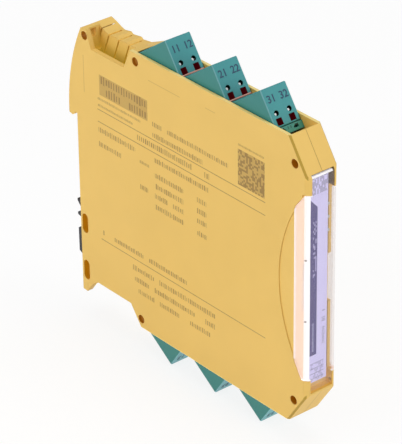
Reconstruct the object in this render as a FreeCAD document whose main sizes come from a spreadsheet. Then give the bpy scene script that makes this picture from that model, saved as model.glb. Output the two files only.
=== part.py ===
import FreeCAD, Part
import Sketcher
import math
import os

os.makedirs("parts", exist_ok=True)
doc = FreeCAD.newDocument("safety_relay")
V = FreeCAD.Vector

# ---------------------------------------------------------------- sizes, in millimetres and degrees
SIZES = [
    ("width", 12.5, "overall width of the housing"),
    ("middle_height", 0.85, "height of the housing's plane of symmetry over the rail centre"),
    ("half_height", 49.6, "half height of the walls"),
    ("side_wall", 1.05, "thickness of a side wall"),
    ("end_wall", 1.2, "thickness of the cross walls"),
    ("front_depth", 110.45, "front face, from the rail seat"),
    ("front_half", 37.75, "half height of the upright front face"),
    ("slant_run", 8.0, "from the front face back to where the slanted front meets the top"),
    ("front_chamfer", 1.3, "chamfer of the upright front edges"),
    ("slant_chamfer", 0.6, "chamfer of the slanted edges"),
    ("hook_height", 17.7, "roof of the groove over the rail's upper flange"),
    ("hook_gap", 1.06, "groove for the rail's flange"),
    ("hook_lip", 17.1, "lower edge of the hook's inner face"),
    ("hook_tip_back", 2.45, "tip of the hook"),
    ("hook_tip", 16.2, "height of the hook's tip"),
    ("hook_back", 4.15, "rear of the hook"),
    ("hook_rear", 16.6, "lower end of the curved back"),
    ("back_radius", 69.0, "radius of the curved back"),
    ("block_height", 49.2, "top of the rear block"),
    ("block_rear", 3.2, "rear end of that top"),
    ("block_front", 6.0, "front end of that top"),
    ("vent_rear", 8.3, "rear end of the vent window"),
    ("vent_set", 19.05, "front end of the vent window, behind the first crest"),
    ("vent_run", 3.3, "length of the window's ramp up to the top"),
    ("vent_sill", 43.3, "upper sill of the vent window"),
    ("sill_shift", 1.3, "how much nearer the lower sill is to the rail centre"),
    ("slat_top", 46.4, "height of the slats' valleys"),
    ("slat_ridge", 0.8, "height of the slats' ridges"),
    ("slat_pitch", 5.05, "pitch of the slats"),
    ("slit", 0.55, "width of a vent slit"),
    ("slit_first", 4.9, "top of the first slit, from the seat"),
    ("slit_lean", 4.2, "how far a slit leans back over the slats' height"),
    ("slat_low", 37.0, "lower end of the slats, from the middle"),
    ("well_wall", 1.7, "thickness of the left wall along the vent wells"),
    ("well_rear", 5.2, "rear end of the vent wells"),
    ("well_run", 1.5, "how far the vent wells reach past the window's front end"),
    ("seat_low", 47.7, "lower end of the rail seat"),
    ("cavity_rear", 5.9, "rear end of the main hollow"),
    ("front_block", 7.45, "from the front face back to the main hollow"),
    ("sill_wall", 1.25, "wall between the hollow and the vent window's sill"),
    ("plug_tilt", 34.8, "how far the plugs lean back"),
    ("crest_last", 22.7, "crest of the last plug, behind the front face"),
    ("crest_pitch", 22.0, "distance from one plug's crest to the next"),
    ("crest_half", 58.3, "half height over the plugs' crests"),
    ("plug_half", 4.95, "half width of a plug"),
    ("plug_height", 12.3, "height of a plug's face"),
    ("plug_length", 16.4, "length of a plug"),
    ("plug_round", 0.25, "softening of a plug's edges"),
    ("plug_travel", 17.0, "how far a plug pulls out"),
    ("entry", 2.2, "width of a square wire entry"),
    ("entry_across", 2.5, "wire entry, from the plug's middle"),
    ("entry_low", 11.8, "lower edge of the wire entries"),
    ("release_radius", 0.85, "radius of a round release hole"),
    ("release_down", 8.05, "round release hole, from the crest"),
    ("chamber_start", 7.0, "where the clamp chamber starts"),
    ("chamber_near", 1.3, "inner side of a clamp chamber"),
    ("chamber_far", 4.2, "outer side of a clamp chamber"),
    ("chamber_top", 6.6, "upper side of a clamp chamber"),
    ("clamp_gap", 0.25, "play around a clamp in its chamber"),
    ("clamp_sheet", 0.4, "sheet of a clamp"),
    ("clamp_length", 5.0, "length of a clamp"),
    ("header_gap", 0.3, "gap between a plug and its header"),
    ("header_shelf", 2.4, "thickness of a header's shelf"),
    ("header_base", 2.6, "thickness of a header's base"),
    ("header_top", 2.8, "upper end of a header's base, from the crest"),
    ("pin", 0.6, "thickness of a contact pin"),
    ("pin_across", 2.75, "contact pin, from the middle"),
    ("pin_down", 9.8, "contact pin, from the crest"),
    ("pin_play", 0.05, "play around a pin in the header's base"),
    ("pin_start", 10.4, "tip of a contact pin, from the plug's face"),
    ("pin_tail", 8.0, "length of a pin's solder tail"),
    ("bay_gap", 0.4, "gap between the plugs and the housing's ramps"),
    ("ramp_depth", 4.2, "foot of the ramp in front of the plugs, below the wall's top"),
    ("slot_half", 4.4, "half width of the front slot"),
    ("web_set", 2.45, "web behind the cover's tongue, from the front face"),
    ("slot_top", 38.6, "upper end of the front slot, from the middle"),
    ("slot_low", 37.05, "lower end of the front slot, from the middle"),
    ("carrier_half", 31.65, "half height of the deep part of the slot"),
    ("wing_half", 32.3, "half height of the cover's wings"),
    ("wing_reach", 5.95, "how far the cover's wings reach back from the front face"),
    ("wing_depth", 0.8, "how far the wall is set in behind the wings"),
    ("wing_corner_high", 25.98, "where the wings' corners start, from the middle"),
    ("wing_corner_mid", 27.4, "bend in the wings' corners, from the middle"),
    ("corner_bend", 5.4, "bend in the wings' corners, from the front face"),
    ("corner_end", 1.3, "front end of the wings' corners, from the front face"),
    ("wing_gap", 0.15, "gap around the cover"),
    ("wall_set", 2.35, "front edge of the set-in walls, from the front face"),
    ("notch_half", 8.35, "half height of the notch in the set-in walls"),
    ("notch_depth", 1.4, "depth of that notch"),
    ("cover_sheet", 0.6, "thickness of the cover"),
    ("wing_sheet", 0.7, "thickness of the cover's wings"),
    ("tongue_half", 4.15, "half width of the cover's tongue"),
    ("tongue_drop", 1.0, "how far the tongue ends below the slanted front"),
    ("hinge_set", 1.1, "hinge of the cover, behind the front face"),
    ("hinge_low", 34.8, "hinge of the cover, below the rail centre"),
    ("hub_radius", 1.1, "radius of the cover's hinge barrel"),
    ("trunnion_radius", 0.5, "radius of a hinge pin"),
    ("trunnion_length", 0.95, "length of a hinge pin"),
    ("trunnion_fit", 0.05, "running clearance of the hinge"),
    ("crescent_radius", 50.5, "radius of the finger recess"),
    ("crescent_half", 25.4, "half height of the finger recess"),
    ("crescent_depth", 0.3, "depth of the finger recess"),
    ("hole_radius", 1.5, "radius of the round wall holes"),
    ("hole_rear_set", 13.25, "rear round holes, behind the first crest"),
    ("hole_rear_down", 3.05, "rear round holes, from the walls' top"),
    ("hole_front_back", 5.7, "front round holes, behind the front face"),
    ("hole_front_up", 3.45, "front round holes, beyond the upright front's end"),
    ("hole_block_back", 4.98, "round hole in the rear block, from the seat"),
    ("hole_block_down", 2.14, "round hole in the rear block, from its top"),
    ("hole_depth", 4.6, "depth of the round wall holes"),
    ("slot_width", 3.0, "width of the side slots"),
    ("slot_rear", 0.75, "rear side of the side slots"),
    ("slot_one_high", 18.5, "upper end of the first side slot"),
    ("slot_one_low", 25.6, "lower end of the first side slot"),
    ("slot_two_high", 36.0, "upper end of the second side slot"),
    ("slot_two_low", 43.3, "lower end of the second side slot"),
    ("channel_top", 15.3, "upper end of the foot's channel"),
    ("channel_deep", 4.6, "front wall of the foot's channel"),
    ("channel_rib", 1.2, "thickness of the channel's ribs"),
    ("channel_half", 3.45, "half width between the ribs"),
    ("channel_wide", 4.15, "half width of the lane for the foot's tongue"),
    ("side_slot_depth", 1.75, "depth of the side slots"),
    ("foot_half", 4.3, "half width of the rail foot"),
    ("foot_side_gap", 0.25, "play at the foot's sides"),
    ("foot_gap", 0.3, "play of the foot's tongue"),
    ("foot_catch", 16.2, "top of the foot's catch"),
    ("foot_low", 44.4, "lower end of the foot"),
    ("nub_high", 21.1, "upper side of the foot's nub"),
    ("nub_low", 21.9, "lower side of the foot's nub"),
    ("bar_high", 27.0, "upper side of the foot's bar"),
    ("bar_low", 35.6, "lower side of the foot's bar"),
    ("foot_back", 4.15, "rear of the foot"),
    ("foot_sheet", 2.0, "rear of the foot between its bars"),
    ("release_slot", 1.5, "height of the release notch at the foot's lower end"),
    ("foot_travel", 2.6, "travel of the foot"),
    ("peg_half", 1.3, "half width of the spring's peg"),
    ("peg_top", 40.2, "upper face of the spring's peg"),
    ("peg_height", 1.6, "height of the spring's peg"),
    ("spring_radius", 1.0, "mean radius of the foot's spring"),
    ("spring_wire", 0.35, "wire of the foot's spring"),
    ("spring_turns", 6.0, "turns of the foot's spring"),
    ("spring_top", 30.3, "upper end of the foot's spring"),
    ("window_half", 1.65, "half width of the spring's window in the foot"),
    ("board_face", 0.8, "component side of the circuit board"),
    ("board_sheet", 1.6, "thickness of the circuit board"),
    ("board_rear", 8.0, "rear edge of the circuit board"),
    ("board_set", 0.8, "gap between the board and the front end of the hollow"),
    ("board_clear", 1.8269, "board's front notches, in front of the ramp's foot"),
    ("board_drop", 1.95, "gap between the board and the slats"),
    ("notch_drop", 6.0, "height of the board's front notches"),
    ("carrier_left", 4.2, "left side of the front carrier"),
    ("carrier_right", 2.7, "right side of the front carrier"),
    ("carrier_set", 1.05, "front of the front carrier, behind the front face"),
    ("carrier_deep", 5.8, "depth of the front carrier"),
    ("carrier_wall", 0.8, "wall of the front carrier"),
    ("carrier_plate", 1.0, "thickness of the carrier's front plate"),
    ("carrier_top", 37.9, "upper end of the carrier's front plate"),
    ("carrier_low", 33.2, "lower end of the carrier's front plate"),
    ("label_sheet", 0.15, "thickness of the label"),
    ("guide_radius", 0.5, "radius of a light guide"),
    ("guide_across", 3.5, "light guides, from the middle"),
    ("guide_first", 27.0, "first light guide, above the rail centre"),
    ("guide_pitch", 4.5, "distance between light guides"),
    ("relay_thick", 4.9, "thickness of a force-guided relay"),
    ("relay_length", 28.0, "length of a force-guided relay"),
    ("relay_height", 15.0, "height of a force-guided relay"),
    ("relay_set", 8.2, "front end of the relays, behind the board's front edge"),
    ("relay_rise", 9.5, "centre of a relay, from the middle"),
    ("coil_length", 14.0, "length of the transformer"),
    ("coil_height", 13.0, "height of the transformer"),
    ("coil_rear", 12.0, "rear end of the transformer"),
    ("coil_rise", 8.0, "lower edge of the transformer, from the middle"),
    ("coil_thick", 5.2, "thickness of the transformer"),
    ("winding_out", 1.2, "how far the winding stands out of the core"),
    ("winding_inset", 2.5, "core above and below the winding"),
    ("can_radius", 2.3, "radius of the capacitor"),
    ("can_length", 11.0, "length of the capacitor"),
    ("chip_size", 7.0, "size of a controller chip"),
    ("chip_thick", 1.4, "thickness of a controller chip"),
]


class Size:
    """A length that knows both its value and the sheet expression that gives it."""

    def __init__(self, text, value):
        self.text = text
        self.value = value

    def __add__(self, other):
        other = as_size(other)
        return Size("(%s + %s)" % (self.text, other.text), self.value + other.value)

    def __radd__(self, other):
        return as_size(other) + self

    def __sub__(self, other):
        other = as_size(other)
        return Size("(%s - %s)" % (self.text, other.text), self.value - other.value)

    def __rsub__(self, other):
        return as_size(other) - self

    def __mul__(self, other):
        other = as_size(other)
        return Size("(%s * %s)" % (self.text, other.text), self.value * other.value)

    def __rmul__(self, other):
        return as_size(other) * self

    def __truediv__(self, other):
        other = as_size(other)
        return Size("(%s / %s)" % (self.text, other.text), self.value / other.value)

    def __neg__(self):
        return Size("(0 - %s)" % self.text, -self.value)


def as_size(item):
    if isinstance(item, Size):
        return item
    return Size(repr(float(item)), float(item))


def sine(angle):
    return Size("sin(%s)" % angle.text, math.sin(math.radians(angle.value)))


def cosine(angle):
    return Size("cos(%s)" % angle.text, math.cos(math.radians(angle.value)))


sheet = doc.addObject("Spreadsheet::Sheet", "Sizes")
S = {}
for row, (size_name, number, note) in enumerate(SIZES):
    sheet.set("A%d" % (row + 1), size_name)
    sheet.set("B%d" % (row + 1), str(number))
    sheet.set("C%d" % (row + 1), note)
    sheet.setAlias("B%d" % (row + 1), size_name)
    S[size_name] = Size("Sizes." + size_name, number)
doc.recompute()

# lengths that follow from the ones above
lean_sin = sine(S["plug_tilt"])
lean_cos = cosine(S["plug_tilt"])
S["slant_depth"] = S["front_depth"] - S["slant_run"]
S["cavity_front"] = S["front_depth"] - S["front_block"]
S["crest_one"] = S["front_depth"] - S["crest_last"] - S["crest_pitch"] * 2
S["vent_front"] = S["crest_one"] - S["vent_set"]
S["vent_ramp"] = S["vent_front"] + S["vent_run"]
S["vent_sill_low"] = S["vent_sill"] - S["sill_shift"]
slat_count = int((S["vent_front"] - S["vent_rear"]).value / S["slat_pitch"].value)
S["well_front"] = S["vent_front"] + S["well_run"]
S["cavity_half"] = S["vent_sill"] - S["middle_height"] - S["sill_wall"]
S["hole_rear_back"] = S["crest_one"] - S["hole_rear_set"]
S["slot_web"] = S["front_depth"] - S["web_set"]
S["wing_start"] = S["front_depth"] - S["wing_reach"]
S["wing_corner_back"] = S["front_depth"] - S["corner_bend"]
S["wing_corner_front"] = S["front_depth"] - S["corner_end"]
S["wall_front"] = S["front_depth"] - S["wall_set"]
S["notch_back"] = S["wall_front"] - S["notch_depth"]
S["hinge_depth"] = S["front_depth"] - S["hinge_set"]
S["carrier_front"] = S["front_depth"] - S["carrier_set"]
S["carrier_rear"] = S["carrier_front"] - S["carrier_deep"]
S["board_front"] = S["cavity_front"] - S["board_set"]
S["relay_one_rear"] = S["board_front"] - S["relay_set"] - S["relay_length"]
header_down = S["plug_height"] + S["header_gap"] - 0.1 + S["header_shelf"]
header_out = S["plug_length"] + S["header_gap"] + S["header_base"]
S["board_half"] = S["crest_half"] - header_down * lean_cos - header_out * lean_sin

# ---------------------------------------------------------------- helpers
cuts = []


def new_body(label):
    body = doc.addObject("PartDesign::Body", label)
    body.Label = label
    return body


def plane_of(body, role):
    for feature in body.Origin.OriginFeatures:
        if feature.Role == role:
            return feature
    raise RuntimeError("no plane " + role)


def bend_middle(start, end, radius, side):
    """Middle point of the arc of that radius from start to end, bulging to the given side."""
    chord = end - start
    half = chord.Length / 2.0
    rise = radius - math.sqrt(max(radius * radius - half * half, 0.0))
    normal = V(chord.y, -chord.x, 0.0)
    normal.normalize()
    return (start + end) * 0.5 + normal * (rise * side)


def closest_end(geometry, point):
    if (geometry.StartPoint - point).Length < (geometry.EndPoint - point).Length:
        return 1
    return 2


def draw_loop(sketch, points, bends):
    """Close the points with lines, or with arcs where bends gives {index: (radius, side)}."""
    pairs = [(as_size(a), as_size(b)) for a, b in points]
    corners = [V(a.value, b.value, 0.0) for a, b in pairs]
    first = sketch.GeometryCount
    count = len(corners)
    for i in range(count):
        start = corners[i]
        end = corners[(i + 1) % count]
        if i in bends:
            radius, side = bends[i]
            middle = bend_middle(start, end, as_size(radius).value, side)
            sketch.addGeometry(Part.Arc(start, middle, end), False)
        else:
            sketch.addGeometry(Part.LineSegment(start, end), False)
    shapes = [sketch.Geometry[first + i] for i in range(count)]
    half_round = []
    for i in bends:
        chord = (corners[(i + 1) % count] - corners[i]).Length
        if chord > 1.999 * as_size(bends[i][0]).value:
            half_round.append(i)
    for i in range(count):
        j = (i + 1) % count
        here = closest_end(shapes[i], corners[j])
        there = closest_end(shapes[j], corners[j])
        kind = "Tangent" if j in half_round else "Coincident"
        sketch.addConstraint(Sketcher.Constraint(kind, first + i, here, first + j, there))
    for i in range(count):
        here = closest_end(shapes[i], corners[i])
        for kind, item in (("DistanceX", pairs[i][0]), ("DistanceY", pairs[i][1])):
            number = sketch.addConstraint(
                Sketcher.Constraint(kind, -1, 1, first + i, here, item.value))
            sketch.setExpression("Constraints[%d]" % number, item.text)
        if i in bends and i not in half_round:
            size = as_size(bends[i][0])
            number = sketch.addConstraint(Sketcher.Constraint("Radius", first + i, size.value))
            sketch.setExpression("Constraints[%d]" % number, size.text)


def draw_circle(sketch, across, up, radius):
    across, up, radius = as_size(across), as_size(up), as_size(radius)
    index = sketch.GeometryCount
    sketch.addGeometry(Part.Circle(V(across.value, up.value, 0), V(0, 0, 1), radius.value), False)
    for kind, item in (("DistanceX", across), ("DistanceY", up)):
        number = sketch.addConstraint(Sketcher.Constraint(kind, -1, 1, index, 3, item.value))
        sketch.setExpression("Constraints[%d]" % number, item.text)
    number = sketch.addConstraint(Sketcher.Constraint("Radius", index, radius.value))
    sketch.setExpression("Constraints[%d]" % number, radius.text)


def sketch_on(body, name, role, shift=0.0):
    sketch = body.newObject("Sketcher::SketchObject", name)
    sketch.AttachmentSupport = [(plane_of(body, role), "")]
    sketch.MapMode = "FlatFace"
    shift = as_size(shift)
    sketch.AttachmentOffset = FreeCAD.Placement(V(0, 0, shift.value), FreeCAD.Rotation())
    sketch.setExpression("AttachmentOffset.Base.z", shift.text)
    return sketch


def rectangle(x_low, x_high, y_low, y_high):
    return [(x_low, y_low), (x_high, y_low), (x_high, y_high), (x_low, y_high)]


def pad(body, name, sketch, length, backwards=False):
    feature = body.newObject("PartDesign::Pad", name)
    feature.Profile = sketch
    feature.Reversed = backwards
    length = as_size(length)
    feature.Length = length.value
    feature.setExpression("Length", length.text)
    body.Tip = feature
    return feature


def pocket(body, name, sketch, length, along_normal):
    """Cut along the sketch's normal, or against it."""
    feature = body.newObject("PartDesign::Pocket", name)
    feature.Profile = sketch
    feature.Reversed = bool(along_normal)
    length = as_size(length)
    feature.Length = length.value
    feature.setExpression("Length", length.text)
    body.Tip = feature
    cuts.append(feature)
    return feature


def slab(body, name, points, x_low, x_high, bends=None):
    """Pad of a side profile between two planes across the width."""
    sketch = sketch_on(body, name + "_outline", "YZ_Plane", x_low)
    draw_loop(sketch, points, bends or {})
    return pad(body, name, sketch, as_size(x_high) - x_low)


def notch(body, name, points, x_low, x_high, bends=None):
    """Pocket of a side profile between two planes across the width."""
    sketch = sketch_on(body, name + "_outline", "YZ_Plane", x_low)
    draw_loop(sketch, points, bends or {})
    return pocket(body, name, sketch, as_size(x_high) - x_low, True)


def soften(body, name, radius, wanted):
    """Chamfer the edges of the body's tip that the test wants."""
    doc.recompute()
    edges = []
    for index, edge in enumerate(body.Tip.Shape.Edges):
        if wanted(edge):
            edges.append("Edge%d" % (index + 1))
    base = body.Tip
    feature = body.newObject("PartDesign::Chamfer", name)
    feature.Base = (base, edges)
    feature.Size = radius.value
    feature.setExpression("Size", radius.text)
    body.Tip = feature
    return feature


middle = S["middle_height"]
half_width = S["width"] / 2
inner = half_width - S["side_wall"]
top = middle + S["half_height"]
bottom = middle - S["half_height"]
front = -S["front_depth"]


def on_plug(number, down, out, upper=True):
    """Point (back, up) of a plug's own frame: down its face and out along its pull."""
    crest = -(S["crest_one"] + S["crest_pitch"] * number)
    back = crest - down * lean_sin - out * lean_cos
    rise = S["crest_half"] - down * lean_cos + out * lean_sin
    if upper:
        return back, middle + rise
    return back, middle - rise


def across_band(low, high, side):
    """The range (low, high) of distances from the middle, on the given side."""
    low = as_size(low)
    high = as_size(high)
    if side > 0:
        return low, high
    return -high, -low


# ---------------------------------------------------------------- the two half shells
def outer_profile(side):
    """Side view of the housing; the left half is cut down along the vents."""
    points = [
        (0.0, -S["seat_low"]),
        (0.0, S["hook_height"]),
        (S["hook_gap"], S["hook_height"]),
        (S["hook_gap"], S["hook_lip"]),
        (S["hook_tip_back"], S["hook_tip"]),
        (S["hook_back"], S["hook_rear"]),
        (-S["block_rear"], S["block_height"]),
    ]
    bends = {5: (S["back_radius"], 1)}
    if side < 0:
        points += [
            (-S["block_front"], S["block_height"]),
            (-S["vent_rear"], S["vent_sill"]),
            (-S["vent_front"], S["vent_sill"]),
            (-S["vent_ramp"], top),
        ]
    else:
        rise = middle + S["slat_top"] - 0.1
        points += [
            (-S["block_front"] + 0.3, S["block_height"] - 0.7),
            (-S["vent_rear"], rise + 0.3),
            (-S["vent_rear"] - 1.7, rise - 0.2),
        ]
        for step in range(slat_count):
            peak = -S["vent_rear"] - S["slat_pitch"] * (step + 1)
            points.append((peak, rise + S["slat_ridge"] - 0.4))
            if step < slat_count - 1:
                points.append((peak - 0.9, rise - 0.2))
        points.append((-S["vent_ramp"] - 2.0, top))
    points += [
        (-S["slant_depth"], top),
        (front, middle + S["front_half"]),
        (front, middle - S["front_half"]),
        (-S["slant_depth"], bottom),
        (-S["vent_ramp"] - 2.3, bottom),
    ]
    if side < 0:
        points += [
            (-S["vent_front"] - 0.6, -S["vent_sill_low"]),
            (-S["vent_rear"] + 0.1, -S["vent_sill_low"]),
        ]
    else:
        fall = middle - S["slat_top"] + 0.1
        points.append((-S["vent_ramp"] + 1.0, fall))
        for step in range(slat_count):
            peak = -S["vent_rear"] - S["slat_pitch"] * (slat_count - step)
            points.append((peak - 0.9, fall + 0.2))
            points.append((peak, fall - S["slat_ridge"] + 0.4))
        points.append((-S["vent_rear"] + 0.6, fall))
    points += [
        (-5.4, -S["vent_sill_low"] - 1.6),
        (-2.2, -S["seat_low"] - 0.2),
    ]
    return points, bends


def shell(label, side):
    body = new_body(label)
    points, bends = outer_profile(side)
    low, high = across_band(0.0, half_width, side)
    slab(body, label + "_block", points, low, high, bends)

    low, high = across_band(0.0, inner, side)
    high_rear = S["cavity_half"] if side < 0 else S["slat_low"]
    step_back = -S["well_front"] - 1.1
    cavity = [
        (-S["cavity_rear"], middle + high_rear),
        (-S["cavity_rear"], middle - high_rear),
        (step_back, middle - high_rear),
        (step_back - 0.1, middle - S["cavity_half"]),
        (-S["cavity_front"], middle - S["cavity_half"]),
        (-S["cavity_front"], middle + S["cavity_half"]),
        (step_back - 0.1, middle + S["cavity_half"]),
        (step_back, middle + high_rear),
    ]
    notch(body, label + "_hollow", cavity, low, high)
    if side < 0:
        well_low, well_high = across_band(0.0, half_width - S["well_wall"], side)
        well = rectangle(-S["well_front"], -S["well_rear"], middle + S["cavity_half"] - 1.0, 60.0)
        notch(body, label + "_well_high", well, well_low, well_high)
        well = rectangle(-S["well_front"], -S["well_rear"], -60.0, middle - S["cavity_half"] + 1.0)
        notch(body, label + "_well_low", well, well_low, well_high)

    edge = S["cavity_half"] - 0.5
    for upper in (True, False):
        sign = 1 if upper else -1
        word = "_bay_high" if upper else "_bay_low"
        above = S["half_height"] + 1.5
        rear_out = (above - S["crest_half"] - S["bay_gap"] * lean_cos) / lean_sin
        rear_top = on_plug(0, -S["bay_gap"], rear_out, upper)
        rear_y = on_plug(0, S["header_top"], -header_out, upper)[0] + 0.7
        rear_reach = (rear_y - rear_top[0]) / lean_cos
        rear_z = rear_top[1] - rear_reach * lean_sin * sign
        ramp_down = S["plug_height"] + S["header_gap"] + S["header_shelf"] + S["bay_gap"]
        ramp_rise = S["crest_half"] - ramp_down * lean_cos
        ramp_foot = S["half_height"] - S["ramp_depth"]
        ramp_low = on_plug(2, ramp_down, (ramp_foot - ramp_rise) / lean_sin, upper)
        ramp_top = on_plug(2, ramp_down, (above - ramp_rise) / lean_sin, upper)
        bay = [
            rear_top,
            (rear_y, rear_z),
            (rear_y, middle + edge * sign),
            (ramp_low[0], middle + edge * sign),
            ramp_low,
            ramp_top,
        ]
        notch(body, label + word, bay, low, high)

    low, high = across_band(0.0, S["slot_half"], side)
    beyond = front - 1.0
    slot = [
        (beyond, middle + S["slot_top"]),
        (-S["slot_web"], middle + S["slot_top"]),
        (-S["slot_web"], middle + S["carrier_half"]),
        (-S["cavity_front"] + 0.2, middle + S["carrier_half"]),
        (-S["cavity_front"] + 0.2, middle - S["carrier_half"]),
        (-S["slot_web"], middle - S["carrier_half"]),
        (-S["slot_web"], middle - S["slot_low"]),
        (beyond, middle - S["slot_low"]),
    ]
    notch(body, label + "_front_slot", slot, low, high)

    low, high = across_band(half_width - S["wing_depth"], half_width + 0.1, side)
    wing = [
        (beyond, middle + S["wing_half"]),
        (-S["wing_corner_front"], middle + S["wing_half"]),
        (-S["wing_corner_back"], middle + S["wing_corner_mid"]),
        (-S["wing_start"], middle + S["wing_corner_high"]),
        (-S["wing_start"], middle - S["wing_corner_high"]),
        (-S["wing_corner_back"], middle - S["wing_corner_mid"]),
        (-S["wing_corner_front"] + 1.2, middle - S["wing_half"]),
        (beyond, middle - S["wing_half"]),
    ]
    notch(body, label + "_wing_seat", wing, low, high)
    low, high = across_band(0.0, half_width + 0.1, side)
    strip = rectangle(beyond, -S["wall_front"], middle - S["wing_half"], middle + S["wing_half"])
    notch(body, label + "_wall_edge", strip, low, high)
    gap = rectangle(beyond, -S["notch_back"], middle - S["notch_half"], middle + S["notch_half"])
    notch(body, label + "_wall_notch", gap, low, high)

    low, high = across_band(half_width - S["crescent_depth"], half_width + 0.1, side)
    crescent = [
        (-S["wing_start"] - 0.1, middle + S["crescent_half"]),
        (-S["wing_start"] - 0.1, middle - S["crescent_half"]),
    ]
    sketch = sketch_on(body, label + "_crescent_outline", "YZ_Plane", low)
    draw_loop(sketch, crescent, {1: (S["crescent_radius"], 1)})
    pocket(body, label + "_crescent", sketch, high - low, True)

    low, high = across_band(half_width - S["hole_depth"], half_width + 0.1, side)
    sketch = sketch_on(body, label + "_holes_outline", "YZ_Plane", low)
    rear_hole = (S["hole_rear_back"], S["half_height"] - S["hole_rear_down"])
    front_hole = (S["front_depth"] - S["hole_front_back"], S["front_half"] + S["hole_front_up"])
    for back, up in (rear_hole, front_hole):
        draw_circle(sketch, -back, middle + up, S["hole_radius"])
        draw_circle(sketch, -back, middle - up, S["hole_radius"])
    draw_circle(sketch, -S["hole_block_back"], S["block_height"] - S["hole_block_down"],
                S["hole_radius"] * 0.999)
    pocket(body, label + "_holes", sketch, high - low, True)

    low, high = across_band(half_width - S["side_slot_depth"], half_width + 0.1, side)
    near = -S["slot_rear"]
    far = near - S["slot_width"]
    r = S["slot_width"] / 2
    sketch = sketch_on(body, label + "_side_slots_outline", "YZ_Plane", low)
    for up, down in (("slot_one_high", "slot_one_low"), ("slot_two_high", "slot_two_low")):
        loop = [(near, -S[down] + r), (near, -S[up] - r), (far, -S[up] - r), (far, -S[down] + r)]
        draw_loop(sketch, loop, {1: (r, 1), 3: (r, 1)})
    pocket(body, label + "_side_slots", sketch, high - low, True)

    low, high = across_band(0.0, S["channel_half"], side)
    neck = rectangle(-S["channel_rib"] - 0.1, 1.0, -S["seat_low"] - 2.0, -S["channel_top"])
    notch(body, label + "_foot_neck", neck, low, high)
    peg_low = -S["peg_top"] - S["peg_height"]
    lane = [
        (-S["channel_rib"], -S["channel_top"]),
        (-S["channel_deep"], -S["channel_top"]),
        (-S["channel_deep"], -S["peg_top"]),
        (-S["channel_rib"] - 0.9, -S["peg_top"]),
        (-S["channel_rib"] - 0.9, peg_low),
        (-S["channel_deep"], peg_low),
        (-S["channel_deep"], -S["seat_low"] - 2.0),
        (-S["channel_rib"], -S["seat_low"] - 2.0),
    ]
    low, high = across_band(0.0, S["peg_half"], side)
    notch(body, label + "_foot_lane", lane, low, high)
    lane = rectangle(-S["channel_deep"], -S["channel_rib"],
                     -S["seat_low"] - 2.0, -S["channel_top"])
    low, high = across_band(S["peg_half"], S["channel_wide"], side)
    notch(body, label + "_foot_lane_side", lane, low, high)

    sketch = sketch_on(body, label + "_hinge_socket_outline", "YZ_Plane",
                       across_band(S["slot_half"] - 0.1, 5.4, side)[0])
    draw_circle(sketch, -S["hinge_depth"], -S["hinge_low"], S["trunnion_radius"] + S["trunnion_fit"])
    low, high = across_band(S["slot_half"] - 0.1, 5.4, side)
    pocket(body, label + "_hinge_socket", sketch, high - low, True)

    corner = half_width + 0.01
    edge_low = half_width - S["front_chamfer"]
    sketch = sketch_on(body, label + "_edge_outline", "XY_Plane", middle - 45.0)
    sign = 1 if side > 0 else -1
    triangle = [
        (edge_low * sign, front - 0.01),
        (corner * sign, front - 0.01),
        (corner * sign, front + S["front_chamfer"]),
    ]
    draw_loop(sketch, triangle, {})
    pocket(body, label + "_edge", sketch, 90.0, True)

    def slanted_edge(edge):
        box = edge.BoundBox
        outside = min(abs(box.XMin), abs(box.XMax)) > half_width.value - 0.01
        sloping = box.YLength > 3.0 and box.ZLength > 4.0
        before = front.value - 0.01 < box.Center.y < -S["slant_depth"].value
        return outside and sloping and before and abs(box.Center.z) > S["front_half"].value

    soften(body, label + "_slant_edge", S["slant_chamfer"], slanted_edge)

    if side > 0:
        low, high = across_band(0.0, inner, side)
        floor = middle + S["slat_low"] - 0.5
        roof = middle + S["slat_top"] + 1.0
        sketch = sketch_on(body, label + "_slits_outline", "YZ_Plane", low)
        for step in range(slat_count + 1):
            back = -S["slit_first"] - S["slat_pitch"] * step
            foot_of = back + S["slit_lean"]
            loop = [
                (foot_of, floor),
                (foot_of - S["slit"], floor),
                (back - S["slit"], roof),
                (back, roof),
            ]
            if step == 0:
                loop = [(a - 1.1, b) for a, b in loop]
            draw_loop(sketch, loop, {})
            if step > 0:
                loop = [(a, 2 * middle - b) for a, b in loop]
                draw_loop(sketch, loop, {})
        pocket(body, label + "_slits", sketch, high - low, True)
    return body


left_shell = shell("left_shell", -1)
right_shell = shell("right_shell", 1)
doc.recompute()


# ---------------------------------------------------------------- plugs, headers and their metal
def place_on_rank(body, number, upper):
    """Lean a body back onto its rank of plugs; the lower ranks are turned half round."""
    crest = -(S["crest_one"] + S["crest_pitch"] * number)
    if upper:
        height = middle + S["crest_half"]
        body.Placement = FreeCAD.Placement(
            V(0, crest.value, height.value), FreeCAD.Rotation(V(1, 0, 0), -S["plug_tilt"].value))
        body.setExpression("Placement.Rotation.Angle", "0 - Sizes.plug_tilt")
    else:
        height = middle - S["crest_half"]
        angle = math.radians(S["plug_tilt"].value / 2)
        body.Placement = FreeCAD.Placement(
            V(0, crest.value, height.value),
            FreeCAD.Rotation(V(0, math.cos(angle), math.sin(angle)), 180))
    body.setExpression("Placement.Base.y", crest.text)
    body.setExpression("Placement.Base.z", height.text)


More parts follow.
